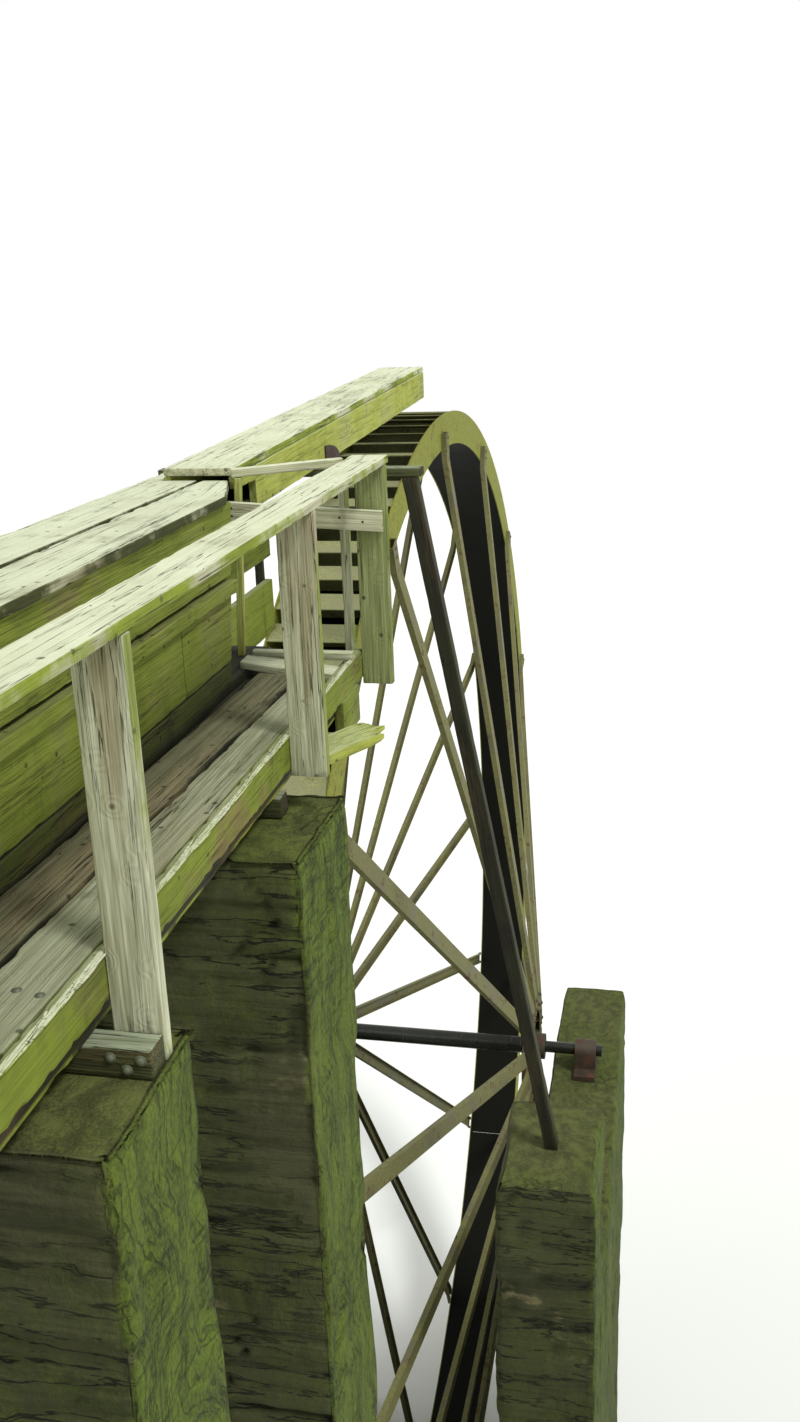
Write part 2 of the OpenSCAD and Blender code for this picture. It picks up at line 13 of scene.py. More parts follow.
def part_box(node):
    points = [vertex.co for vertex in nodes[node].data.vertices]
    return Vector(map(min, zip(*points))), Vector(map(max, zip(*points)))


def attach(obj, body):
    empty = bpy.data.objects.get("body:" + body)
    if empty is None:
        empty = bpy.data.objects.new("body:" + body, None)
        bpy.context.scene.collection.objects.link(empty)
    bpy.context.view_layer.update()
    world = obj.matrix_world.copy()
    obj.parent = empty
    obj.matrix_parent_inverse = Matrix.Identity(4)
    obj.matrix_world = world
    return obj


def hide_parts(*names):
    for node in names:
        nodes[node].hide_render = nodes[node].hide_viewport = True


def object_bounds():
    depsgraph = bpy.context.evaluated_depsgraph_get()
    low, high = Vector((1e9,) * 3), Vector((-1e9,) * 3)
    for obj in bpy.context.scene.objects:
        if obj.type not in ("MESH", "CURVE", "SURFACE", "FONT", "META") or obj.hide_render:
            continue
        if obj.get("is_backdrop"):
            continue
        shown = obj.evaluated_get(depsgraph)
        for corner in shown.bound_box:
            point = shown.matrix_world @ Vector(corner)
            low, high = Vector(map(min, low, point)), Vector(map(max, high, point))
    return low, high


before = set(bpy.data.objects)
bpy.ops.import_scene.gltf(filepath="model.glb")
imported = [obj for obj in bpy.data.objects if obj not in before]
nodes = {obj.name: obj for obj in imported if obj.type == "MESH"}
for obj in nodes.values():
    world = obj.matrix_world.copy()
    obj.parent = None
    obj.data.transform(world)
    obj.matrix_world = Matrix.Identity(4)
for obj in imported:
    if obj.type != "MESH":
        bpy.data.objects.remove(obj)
cad_low, cad_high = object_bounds()
print("frame:", len(nodes), "nodes, box", [round(v, 3) for v in (*cad_low, *cad_high)])

# %% [markdown]
# ## Shader arithmetic
# A material is a formula over the surface. Wiring each node by hand hides the formula, so a small class wraps one
# socket and lets Python's own operators add the Math nodes. Colours and vectors go through other nodes, because
# a Math node would turn a colour grey.

# %% A socket with operators
class Wire:
    """One output of a shader node, or a plain number."""
    def __init__(self, recipe, socket):
        self.recipe = recipe
        self.socket = socket

    def math(self, operation, *others):
        return self.recipe.node("ShaderNodeMath", {"operation": operation}, dict(enumerate((self, *others))))

    def __add__(self, other): return self.math("ADD", other)
    def __sub__(self, other): return self.math("SUBTRACT", other)
    def __mul__(self, other): return self.math("MULTIPLY", other)
    def __rsub__(self, other): return (self * -1.0).math("ADD", other)
    def __abs__(self): return self.math("ABSOLUTE")
    __radd__ = __add__
    __rmul__ = __mul__

    def smooth(self, low, high):
        """0 below low and 1 above high, with a soft ramp between; low above high turns it round."""
        return self.recipe.node("ShaderNodeMapRange", {"interpolation_type": "SMOOTHSTEP"},
                                {"Value": self, "From Min": low, "From Max": high})

    def clamp(self):
        return self.recipe.node("ShaderNodeClamp", {}, {"Value": self})

    def times(self, x, y, z):
        """A vector scaled by its own amount along each axis."""
        return self.recipe.node("ShaderNodeVectorMath", {"operation": "MULTIPLY"}, {0: self, 1: (x, y, z)})

    def part(self, axis):
        return self.recipe.node("ShaderNodeSeparateXYZ", {}, {"Vector": self}, axis)


class Recipe:
    """A material, or the world, that is being written node by node."""
    def __init__(self, owner):
        self.owner = owner
        owner.use_nodes = True
        self.tree = owner.node_tree
        self.tree.nodes.clear()

    def node(self, kind, settings, values, output=0):
        """Adds a node, sets its settings first, then fills its sockets with links or constants."""
        made = self.tree.nodes.new(kind)
        for key, value in settings.items():
            setattr(made, key, value)
        for key, value in values.items():
            if isinstance(value, Wire):
                self.tree.links.new(value.socket, made.inputs[key])
            else:
                made.inputs[key].default_value = value
        return Wire(self, made.outputs[output]) if made.outputs else None

    def noise(self, place, scale, detail=3.0, rough=0.5):
        return self.node("ShaderNodeTexNoise", {"noise_dimensions": "3D"},
                         {"Vector": place, "Scale": scale, "Detail": detail, "Roughness": rough})

    def mix(self, first, second, share):
        """Goes from the first colour to the second as share goes from 0 to 1."""
        first, second = (c if isinstance(c, Wire) else (*c, 1.0) for c in (first, second))
        return self.node("ShaderNodeMix", {"data_type": "RGBA"}, {6: first, 7: second, 0: share}, 2)

    def place(self):
        return self.node("ShaderNodeTexCoord", {}, {}, "Object")

    def facing(self, axis):
        return self.node("ShaderNodeNewGeometry", {}, {}, "Normal").part(axis)

    def own(self, name):
        """An attribute that the piece's mesh carries."""
        return self.node("ShaderNodeAttribute", {"attribute_name": name}, {}, "Vector")

    def finish(self, colour, rough, height, depth, **fixed):
        """Closes the recipe: colour, roughness and a bump, with constants set on the shader's own sockets."""
        bump = self.node("ShaderNodeBump", {}, {"Height": height, "Distance": depth, "Strength": 1.0})
        values = {"Base Color": colour, "Roughness": rough, "Normal": bump}
        values.update({key.replace("_", " "): value for key, value in fixed.items()})
        shader = self.node("ShaderNodeBsdfPrincipled", {}, values)
        self.node("ShaderNodeOutputMaterial", {}, {"Surface": shader})
        return self.owner

print("shader arithmetic ready")

# %% [markdown]
# ## Noise for shapes
# Old timber and rubble are uneven in their outline too, not only in colour. Value noise does it: random numbers
# sit on a lattice of points, and every place in between blends its eight neighbours. It is worked out for whole
# arrays at once, and a hash gives the random numbers, so every run makes the same object.

# %% Value noise on arrays
def hashed(x, y, z, seed):
    """Random numbers from 0 to 1, one for each lattice point: a product with large odd numbers, bits mixed."""
    mixed = (x * 374761393 + y * 668265263 + z * 1274126177 + seed * 97531) & 0xFFFFFFFF
    mixed = ((mixed ^ (mixed >> 13)) * 1103515245 + 12345) & 0xFFFFFFFF
    mixed = ((mixed ^ (mixed >> 15)) * 668265263) & 0xFFFFFFFF
    return ((mixed >> 8) & 0xFFFF) / 65535.0

def ripple(points, size, seed, octaves=3):
    """Noise from -1 to 1 at points whose features are about size metres: octaves, each half as large and strong."""
    total, strength, weight = 0.0, 1.0, 0.0
    scaled = np.asarray(points, float) / size
    for octave in range(octaves):
        cell = np.floor(scaled).astype(np.int64)
        part = scaled - cell
        part = part * part * (3 - 2 * part)
        value = 0.0
        for corner in range(8):
            step = np.array([corner & 1, corner >> 1 & 1, corner >> 2 & 1])
            share = np.prod(np.where(step, part, 1 - part), axis=-1)
            at = cell + step
            value = value + share * hashed(at[..., 0], at[..., 1], at[..., 2], seed + octave)
        total = total + strength * (2 * value - 1)
        weight += strength
        strength *= 0.5
        scaled = scaled * 2.03
    return total / weight

print("noise sample:", round(float(ripple(np.array([[0.3, 0.2, 0.1]]), 0.1, 1)[0]), 3))

# %% [markdown]
# ## From arrays to a piece
# A piece is a mesh whose points are already in place, because its object stays at the origin. Each piece rides
# on a body by name, says which finish it has, and may hide the plain solid that it stands for.

# %% One function that makes every piece
def add_object(name, data):
    """A new object in the scene."""
    made = bpy.data.objects.new(name, data)
    bpy.context.scene.collection.objects.link(made)
    return made

def piece(name, parts, material, slot, body="frame", stands_for=()):
    """Joins surfaces, each given as (points, faces, attribute values), into one mesh on a body."""
    points, faces, values, start = [], [], [], 0
    for part in parts:
        points.append(part[0])
        faces.append(np.asarray(part[1]) + start)
        values.append(part[2] if len(part) > 2 else np.zeros_like(part[0]))
        start += len(part[0])
    points = np.concatenate(points)
    corners = np.concatenate([f.ravel() for f in faces])
    sizes = np.concatenate([np.full(len(f), f.shape[1]) for f in faces])
    mesh = bpy.data.meshes.new(name)
    mesh.vertices.add(len(points))
    mesh.vertices.foreach_set("co", points.astype(np.float32).ravel())
    mesh.loops.add(len(corners))
    mesh.loops.foreach_set("vertex_index", corners.astype(np.int32))
    mesh.polygons.add(len(sizes))
    mesh.polygons.foreach_set("loop_start", np.concatenate([[0], np.cumsum(sizes)[:-1]]).astype(np.int32))
    mesh.polygons.foreach_set("use_smooth", np.full(len(sizes), True))
    layer = mesh.attributes.new(slot_layer(slot), "FLOAT_VECTOR", "POINT")
    layer.data.foreach_set("vector", np.concatenate(values).astype(np.float32).ravel())
    mesh.update(calc_edges=True)
    mesh.validate()
    mesh.materials.append(material)
    made = add_object(name, mesh)
    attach(made, body)
    if stands_for:
        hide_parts(*stands_for)
    triangles = int((sizes - 2).sum())
    assert triangles < 200_000, (name, triangles)
    counted.append(triangles)
    print(f"{name}: {len(parts)} surfaces, {triangles} triangles")
    return made

def slot_layer(slot):
    """Boards carry their grain's own coordinates, and masonry its stones."""
    return "grain" if slot.endswith("wood") else "stone"

counted = []

def spread(*arrays):
    """Arrays of coordinates spread against each other into one array of points."""
    return np.stack(np.broadcast_arrays(*arrays), -1)

def outward(points, faces):
    """Faces turned so that the closed surface's volume is positive: the sum of its corner tetrahedra."""
    a, b, c = (points[faces[:, k]] for k in range(3))
    volume = np.einsum("ij,ij->i", a, np.cross(b, c)).sum()
    if faces.shape[1] == 4:
        volume += np.einsum("ij,ij->i", a, np.cross(c, points[faces[:, 3]])).sum()
    return faces if volume > 0 else faces[:, ::-1]

def closed_tube(rings):
    """Quads round rings of points (rows, columns, 3), and a fan of thin quads that closes each end on its middle."""
    rows, columns = rings.shape[:2]
    index = np.arange(rows * columns).reshape(rows, columns)
    turned = np.roll(index, -1, axis=1)
    side = np.stack([index[:-1], turned[:-1], turned[1:], index[1:]], axis=-1).reshape(-1, 4)
    points = np.concatenate([rings.reshape(-1, 3), rings[0].mean(0)[None], rings[-1].mean(0)[None]])
    first, last = rows * columns, rows * columns + 1
    pairs = np.arange(0, columns, 2)
    near, far = index[0], index[-1]
    low = np.stack([near[pairs], np.full(len(pairs), first), near[(pairs + 2) % columns], near[pairs + 1]], -1)
    high = np.stack([far[pairs], far[pairs + 1], far[(pairs + 2) % columns], np.full(len(pairs), last)], -1)
    return points, outward(points, np.concatenate([side, low, high]))

print("mesh tools ready")

# %% [markdown]
# ## A weathered board
# Each board of the walkway is sawn timber that has stood outdoors for years: its edges are worn round and
# chipped, its faces are slightly wavy, and its ends have dried and split. A bevelled cube would keep straight
# edges, so a board here is a rounded section carried along its length, and noise wears the section as it goes.
# The section's place comes from the eight corners of the solid that it stands for, so a board that leans or
# slopes stays where it is.

# %% Find the solids of a node
def solids(node):
    """The separate solids of a node, each as its own corner points: joins points that share a triangle."""
    mesh = nodes[node].data
    points = np.zeros(len(mesh.vertices) * 3, np.float32)
    mesh.vertices.foreach_get("co", points)
    points, same = np.unique(np.round(points.reshape(-1, 3), 5), axis=0, return_inverse=True)
    mesh.calc_loop_triangles()
    triangles = np.zeros(len(mesh.loop_triangles) * 3, np.int32)
    mesh.loop_triangles.foreach_get("vertices", triangles)
    triangles = same.ravel()[triangles].reshape(-1, 3)
    label = np.arange(len(points))
    while True:
        lowest = label[triangles].min(axis=1)
        before = label.copy()
        for k in range(3):
            np.minimum.at(label, triangles[:, k], lowest)
        if (label == before).all():
            break
    return [points[label == k] for k in np.unique(label)]

def second_value(values):
    """The second lowest of an array's values: where an outline has its step or notch."""
    return float(np.unique(np.round(values, 4))[1])

def corner_block(points):
    """Eight corners as a 2 x 2 x 2 block: sorted along the longest axis, then the next, then the shortest."""
    order = np.argsort(-np.ptp(points, axis=0))
    block = points[np.argsort(points[:, order[0]], kind="stable")].reshape(2, 4, 3)
    rows = []
    for half in block:
        half = half[np.argsort(half[:, order[1]], kind="stable")].reshape(2, 2, 3)
        rows.append([pair[np.argsort(pair[:, order[2]], kind="stable")] for pair in half])
    return np.array(rows)

print("top rail solids:", len(solids("top_rail")))

# %% The section of a board, and the surface along it
ARC = np.radians([0, 30, 60, 90])
WIDE_POINTS, THIN_POINTS = 5, 1
CORNER_SIGNS = [(1, 1), (-1, 1), (-1, -1), (1, -1)]
END_INSET = [0.45, 0.93, 0.985]

def section():
    """A rounded oblong as columns: place in width and thickness from -1 to 1, and how far the arc cuts in there."""
    columns = []
    for turn, (a, b) in enumerate(CORNER_SIGNS):
        arc = ARC if turn % 2 == 0 else ARC[::-1]
        columns += [(a, b, 1 - math.cos(t), 1 - math.sin(t), turn) for t in arc]
        after = CORNER_SIGNS[(turn + 1) % 4]
        count = WIDE_POINTS if turn % 2 == 0 else THIN_POINTS
        for k in range(1, count + 1):
            t = k / (count + 1)
            columns.append((a + (after[0] - a) * t, b + (after[1] - b) * t, 0.0, 0.0, turn))
    return np.array(columns).T

SECTION = section()

def board(blocks, seed, edge=0.004, wear=1.0, wave=0.0012, split=0.004, step=0.035):
    """A worn board. blocks is a corner block, or a list of stations, each a 2 x 2 set of section corners.
    Each ring is the rounded section, laid between the station's corners by blending the four of them."""
    stations = np.asarray(blocks, float)
    middle = stations.mean(axis=(1, 2))
    along = np.concatenate([[0], np.cumsum(np.linalg.norm(np.diff(middle, axis=0), axis=1))])
    length = along[-1]
    cap = min(edge, length / 8)
    count = max(4, int(length / step))
    s = np.unique(np.concatenate([np.linspace(cap, length - cap, count), along[1:-1], along[1:-1] - 0.002]))
    s = np.concatenate([[0, 0, cap * 0.3], s, [length - cap * 0.3, length, length]])
    inset = np.concatenate([END_INSET, np.ones(len(s) - 6), END_INSET[::-1]])
    corners = np.stack([np.interp(s, along, stations[:, i, j, k])
                        for i in (0, 1) for j in (0, 1) for k in range(3)], 1).reshape(-1, 2, 2, 3)
    width = np.linalg.norm(corners[:, 1, 0] - corners[:, 0, 0], axis=1)[:, None]
    thick = np.linalg.norm(corners[:, 0, 1] - corners[:, 0, 0], axis=1)[:, None]
    a, b, cut_a, cut_b, turn = SECTION
    places = spread(s[:, None], turn[None] * 3.0 + seed, 0 * s[:, None])
    chips = np.clip(ripple(places, 0.05, seed, 2) - 0.25, 0, 1) * 3.0 * wear
    radius = np.minimum(edge * (1 + 0.5 * wear * ripple(places, 0.21, seed + 3, 2) + chips), 0.45 * thick)
    y = (a * width / 2 - np.sign(a) * radius * cut_a)
    z = (b * thick / 2 - np.sign(b) * radius * cut_b)
    local = spread(s[:, None], y, z)
    shrink = 1 - (1 + ripple(local, 0.13, seed + 5, 3)) * wave / thick
    y, z = y * inset[:, None] * (1 + (shrink - 1) * 0.5), z * inset[:, None] * shrink
    v, w = (y / width + 0.5)[..., None], (z / thick + 0.5)[..., None]
    rings = (corners[:, None, 0, 0] * (1 - v) * (1 - w) + corners[:, None, 1, 0] * v * (1 - w)
             + corners[:, None, 0, 1] * (1 - v) * w + corners[:, None, 1, 1] * v * w)
    ends = ripple(np.stack([y, z * 4.0, 0 * y + seed], -1), 0.03, seed + 9, 2) * 0.5 + 0.5
    direction = (middle[-1] - middle[0]) / np.linalg.norm(middle[-1] - middle[0])
    push = np.zeros(len(s))
    push[:3], push[-3:] = 1.0, -1.0
    rings = rings + (push[:, None] * ends * split)[..., None] * direction
    points, faces = closed_tube(rings)
    random = np.random.default_rng(seed)
    pith = np.array([random.uniform(-3, 3) * 5, random.uniform(-0.6, 0.6) * width[0, 0],
                     thick[0, 0] * random.uniform(1.2, 2.5) * random.choice([-1, 1])])
    grain = spread(s[:, None], y, z).reshape(-1, 3)
    grain = np.concatenate([grain, [[s[0], 0, 0], [s[-1], 0, 0]]]) + pith
    return points, faces, grain

def timber_piece(node, material, slot, seed, **shape):
    """Every solid of a node as a worn board."""
    parts = [board(corner_block(block), seed + k, **shape) for k, block in enumerate(solids(node))]
    return piece(node + "_timber", parts, material, slot, stands_for=[node])

print("section of", SECTION.shape[1], "points")

# %% [markdown]
# ## Finishes of the timber
# The timber has several faces in the photograph. The tops of the rail and lids are bleached grey by the sun and
# painted nearly white on top of that, as painted sunlight. The sides that face the valley are yellow-green with
# algae, the posts are streaked grey and brown with knots, and what lies underneath is painted nearly black for the
# shade
# it stands in. One recipe makes them all: growth rings round each board's own pith, broad streaks and fine fibres
# drawn out along it, cracks that follow the fibres, and knots that bend them. The direction that a face looks
# decides how much sun bleaching and painted sunlight it gets, and how much algae.

# %% The wood recipe
SUNLIGHT_AND_BLEACH = (0.31, 0.345, 0.26)

def darker(colour, share):
    return tuple(share * c for c in colour)

def wood(name, heart, pale, moss, moss_side, moss_all, bleach_and_sunlight, brown=0.0, wet=0.0, cracks=0.9, moss_below=None):
    """Grain from stretched noise in the board's own coordinates; sun bleaching and painted sunlight on what faces up;
    algae on what faces +X, or only under a height; brown is how much bare red-brown wood shows, and cracks how dark
    the drying cracks are."""
    r = Recipe(bpy.data.materials.new(name))
    grain, where = r.own("grain"), r.place()
    knots = r.node("ShaderNodeTexVoronoi", {"voronoi_dimensions": "3D"}, {"Vector": grain, "Scale": 10.0}, "Distance")
    knot = knots.smooth(0.14, 0.06)
    ring_bend = knots.smooth(0.5, 0.05)
    drawn = r.noise(grain.times(0.9, 9.0, 9.0), 1.0, 3.0)
    streak = r.noise(grain.times(1.3, 42.0, 42.0), 1.0, 3.0, 0.6)
    fibre = r.noise(grain.times(4.0, 130.0, 130.0), 1.0, 3.0, 0.6)
    board_tone = r.noise(grain.times(0.3, 1.5, 1.5), 1.0, 2.0)
    across = r.node("ShaderNodeVectorMath", {"operation": "LENGTH"}, {0: grain.times(0.0, 1.0, 1.0)}, "Value")
    rings = ((across + drawn * 0.03 + ring_bend * 0.02) * 700.0).math("SINE") * 0.5 + 0.5
    crack_noise = r.noise(grain.times(0.7, 30.0, 30.0), 1.0, 4.0, 0.55)
    crack = abs(crack_noise - 0.5).smooth(0.012, 0.003) * drawn.smooth(0.4, 0.55)
    tone = fibre.smooth(0.32, 0.68) * 0.4 + streak.smooth(0.36, 0.64) * 0.4 + rings * 0.12
    colour = r.mix(heart, pale, (tone + board_tone * 0.5 - 0.2).clamp())
    bare = drawn.smooth(0.5, 0.62) * brown
    colour = r.mix(colour, r.mix((0.10, 0.055, 0.02), (0.27, 0.17, 0.08), fibre.smooth(0.3, 0.7)), bare)
    up = r.facing("Z").smooth(0.35, 0.85)
    side = r.facing("X").smooth(0.3, 0.9)
    if moss_below:
        side = side * where.part("Z").smooth(moss_below + 0.006, moss_below - 0.006)
    patch = r.noise(where, 2.6, 5.0, 0.62)
    drip = r.noise(where.times(12.0, 12.0, 1.3), 1.0, 4.0, 0.6)
    # Faces that look up go paler: partly the grey of sun bleaching, partly painted sunlight on the tops.
    sun = tuple(white + 0.58 * c for white, c in zip(SUNLIGHT_AND_BLEACH, pale))
    sunlit = r.mix(pale, sun, (fibre.smooth(0.3, 0.6) * 0.6 + streak.smooth(0.35, 0.6) * 0.5).clamp())
    colour = r.mix(colour, sunlit, (up * bleach_and_sunlight * patch.smooth(0.2, 0.5)).clamp())
    lush = fibre.smooth(0.3, 0.62) * 0.45 + patch.smooth(0.3, 0.65) * 0.55 + drip.smooth(0.3, 0.7) * 0.15
    green = r.mix(darker(moss, 0.45), moss, lush.clamp())
    colour = r.mix(colour, green, ((side * moss_side + moss_all) * patch.smooth(0.64, 0.44)).clamp())
    colour = r.mix(colour, darker(heart, 0.25), (knot * 0.75 + crack * cracks).clamp())
    stain = r.noise(where.times(1.0, 1.0, 0.35), 5.5, 4.0, 0.6)
    colour = r.mix(colour, darker(heart, 0.35), stain.smooth(0.58, 0.78) * 0.45)
    height = fibre * 0.5 + streak * 0.3 + rings * 0.15 - crack * cracks * 1.5 - knot * 0.3 + drawn * 0.4
    return r.finish(colour, fibre * -0.15 + (0.92 - wet), height, 0.004, Specular_IOR_Level=0.3)

ALGAE = (0.26, 0.32, 0.03)
# Top of the algae strip at the stringers' lower edge; above it the stringers keep their painted shade.
STRINGER_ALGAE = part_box("stringers")[0].z + 0.017
bleached = wood("bleached boards", (0.25, 0.245, 0.13), (0.60, 0.60, 0.42), ALGAE, 1.0, 0.10, 1.0)
lid_wood = wood("bleached lids", (0.14, 0.14, 0.06), (0.52, 0.53, 0.36), (0.055, 0.062, 0.012), 1.0, 0.05, 1.0, 0.3)
sunlit_algae = wood("sunlit algae boards", (0.20, 0.21, 0.04), (0.42, 0.45, 0.14), (0.42, 0.46, 0.07), 0.7, 0.2, 1.0,
                    cracks=0.3)
mossy = wood("boards under algae", (0.075, 0.08, 0.014), (0.20, 0.22, 0.05), (0.20, 0.25, 0.022), 0.9, 0.3, 0.7, 0.5,
             cracks=0.3)
trough = wood("boards of the trough", (0.08, 0.085, 0.016), (0.22, 0.24, 0.06), (0.20, 0.25, 0.02), 0.6, 0.25, 0.15,
              0.2, cracks=0.4)
trough_foot = wood("lowest board of the trough", (0.02, 0.02, 0.006), (0.07, 0.07, 0.02), (0.08, 0.10, 0.01), 0.7,
                   0.1, 0.1, 0.3)
grey = wood("brown-grey boards", (0.21, 0.20, 0.10), (0.67, 0.69, 0.50), (0.26, 0.32, 0.04), 0.8, 0.08, 0.5, 0.45)
end_board = wood("last post of the rail", (0.09, 0.10, 0.03), (0.33, 0.37, 0.16), (0.17, 0.22, 0.03), 0.9, 0.12,
                 0.5, 0.15)
planks = wood("outer deck plank", (0.10, 0.09, 0.035), (0.34, 0.35, 0.23), (0.22, 0.26, 0.04), 0.6, 0.05, 0.25, 0.3)
# In place of algae, the side that faces +X, towards the outer plank, takes a near-black colour: painted shade in the
# gap.
trodden = wood("inner deck plank", (0.045, 0.042, 0.016), (0.18, 0.17, 0.088), (0.02, 0.02, 0.008), 1.0, 0.0, 0.1,
               0.35)
outrigger = wood("outriggers", (0.025, 0.028, 0.008), (0.10, 0.115, 0.04), (0.045, 0.04, 0.012), 1.0, 0.0, 0.9, 0.2)
# The stringers are painted nearly black for the shade behind the fascia, with green algae only on their lower edge.
stringer = wood("stringers in painted shade", (0.012, 0.011, 0.005), (0.045, 0.042, 0.018), (0.30, 0.35, 0.035), 1.0, 0.0, 0.0,
                0.2, moss_below=STRINGER_ALGAE)
# Nearly black: painted shade for the boards, legs and floors under and inside the flume.
dark = wood("dark boards in painted shade", (0.006, 0.005, 0.003), (0.021, 0.019, 0.009), (0.05, 0.06, 0.009), 0.4, 0.15, 0.1,
            0.1, 0.1)
print("thirteen kinds of timber")

# %% [markdown]
# ## The walkway and its rail
# Two broad planks, a fascia board with a torn upper edge, and 2-by-6 posts that carry a flat rail. All are
# straight sticks, so their solids give the corners and the board function does the rest.

# %% Boards that stand for straight solids
timber_piece("top_rail", bleached, "bleached_wood", 11, edge=0.005, wear=1.2, step=0.03)
posts = [board(corner_block(p), 31 + k, edge=0.004, wear=0.8, step=0.03)
         for k, p in enumerate(sorted(solids("rail_posts"), key=lambda p: p[:, 1].mean()))]
piece("last_rail_post", posts[-1:], end_board, "grey_wood")
piece("rail_posts_timber", posts[:-1], grey, "grey_wood", stands_for=["rail_posts"])
timber_piece("fascia", mossy, "mossy_wood", 61, edge=0.006, wear=2.4, wave=0.002, step=0.02)
timber_piece("short_board", mossy, "mossy_wood", 81)
timber_piece("end_post", grey, "grey_wood", 91)
timber_piece("corner_post", sunlit_algae, "grey_wood", 95)
timber_piece("end_rail_lower", bleached, "grey_wood", 101, step=0.02)
timber_piece("end_rail_upper", bleached, "bleached_wood", 105, step=0.02)
timber_piece("stringers", stringer, "dark_wood", 111, edge=0.006, wear=1.5, step=0.06)
timber_piece("flume_sills", dark, "dark_wood", 115, step=0.08)
timber_piece("bearers", outrigger, "dark_wood", 121, edge=0.007, wear=1.2)

# %% The two planks of the walk
def joined_plank(straight, drifting):
    """One plank that runs straight and then drifts aside: its sections at the tail, the bend and the end."""
    first, second = corner_block(straight), corner_block(drifting)
    return np.array([first[0], second[0], second[1]])

halves = sorted(solids("deck_planks"), key=lambda p: (p[:, 0].mean() > 0.56, p[:, 1].min()))
shape = {"edge": 0.007, "wear": 1.6, "wave": 0.002}
piece("inner_deck_plank", [board(joined_plank(*halves[:2]), 51, **shape)], trodden, "grey_wood")
piece("outer_deck_plank", [board(joined_plank(*halves[2:]), 55, **shape)], planks, "grey_wood",
      stands_for=["deck_planks"])

# %% The two boards across the walkway's end
def sloping_board(points, seed):
    """The board that drops from the flume's floor to the stringer: its heights are read at each of its bends."""
    y0, y1 = points[:, 1].min(), points[:, 1].max()
    bends = np.unique(np.round(points[:, 0], 4))
    tall = {x: points[np.isclose(points[:, 0], x, atol=2e-4)][:, 2] for x in bends}
    ends = [bends[0], bends[-1]]
    top = lambda x: np.interp(x, ends, [tall[e].max() for e in ends])
    stations = [[[(x, y0, tall[x].min()), (x, y0, top(x))], [(x, y1, tall[x].min()), (x, y1, top(x))]] for x in bends]
    return board(stations, seed, edge=0.005)

across = sorted(solids("head_cross_boards"), key=len)
piece("head_cross_boards_timber", [board(corner_block(across[0]), 71), sloping_board(across[1], 75)],
      grey, "grey_wood", stands_for=["head_cross_boards"])

# %% [markdown]
# ## The broken board and the torn edge
# A board under the walkway has snapped off, and the fascia's upper edge has frayed. Wood tears along its fibres,
# so a torn end is a row of splinters of different lengths. Cutting a jagged outline would leave a flat saw-cut
# look. Here the broken board is a bundle of narrow strips, each as long as the solid is in its place, and the
# frayed edge is a row of thin pale slivers that lie on it.

# %% Splinters
def outline_end(points, origin, along, side, at):
    """How far a flat outline reaches along one direction, in the strip at a place across it."""
    flat = points[:, :2] - origin
    run, off = flat @ along, flat @ side
    order = np.argsort(off)
    far = run > np.median(run)
    kept = order[far[order]]
    return float(np.interp(at, off[kept], run[kept]))

def splinter_board(node, seed, strips=13):
    """Strips side by side: each runs from the sound end to the torn outline, and its tip tapers to a third."""
    points = solids(node)[0]
    low_z, high_z = points[:, 2].min(), points[:, 2].max()
    flat = np.unique(np.round(points[:, :2], 5), axis=0)
    centre = flat.mean(axis=0)
    along = np.linalg.svd(flat - centre)[2][0]
    along = along if along[1] > 0 else -along
    side = np.array([along[1], -along[0]])
    origin = centre + along * ((flat - centre) @ along).min()
    off = (flat - origin) @ side
    edges = np.linspace(off.min(), off.max(), strips + 1)
    parts = []
    for k, (a, b) in enumerate(zip(edges[:-1], edges[1:])):
        reach = outline_end(points, origin, along, side, (a + b) / 2)
        a, b = a - 0.0004, b + 0.0004
        stations = []
        for share, keep in ((0.0, 1.0), (0.75, 1.0), (0.93, 0.75), (1.0, 0.3)):
            middle = (a + b) / 2
            u, v = middle + (a - middle) * keep, middle + (b - middle) * keep
            z0, z1 = low_z + 0.02 * (1 - keep), high_z - 0.016 * (1 - keep)
            place = lambda w: origin + along * reach * share + side * w
            stations.append([[(*place(u), z0), (*place(u), z1)], [(*place(v), z0), (*place(v), z1)]])
        parts.append(board(stations, seed + k, edge=0.0025, wear=0.8, wave=0.003, step=0.03))
    return piece(node + "_splinters", parts, sunlit_algae, "mossy_wood", stands_for=[node])

splinter_board("broken_board", 501)

def slivers(low, high, edge_x, z, seed, spacing):
    """Thin lens-shaped chips along an edge: width and thickness follow a half sine over the length."""
    random = np.random.default_rng(seed)
    count = int((high - low) / spacing)
    turn = np.linspace(0, 2 * math.pi, 6, endpoint=False)
    t = np.linspace(0.02, 0.98, 6)
    parts = []
    for start in np.sort(random.uniform(low, high - 0.3, count)):
        length, width = random.uniform(0.06, 0.42), random.uniform(0.003, 0.008)
        lens = np.sin(t * math.pi)[:, None] ** 0.6
        drift = random.uniform(-0.012, 0.010) * t[:, None] + random.uniform(-0.014, 0.002)
        x = edge_x + drift + width * lens * np.cos(turn)
        y = np.broadcast_to(start + t[:, None] * length, x.shape)
        lift = random.uniform(0.0, 0.008) * t[:, None] ** 2
        rings = np.stack([x, y, z + lift + 0.0028 * lens * np.sin(turn)], -1)
        points, faces = closed_tube(rings)
        parts.append((points, faces, points + (random.uniform(0, 9), 0, 0)))
    return parts

fascia_low, fascia_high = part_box("fascia")
chips = slivers(fascia_low.y, fascia_high.y, fascia_high.x, fascia_high.z + 0.0005, 521, 0.022)
piece("fascia_slivers", chips, bleached, "mossy_wood")

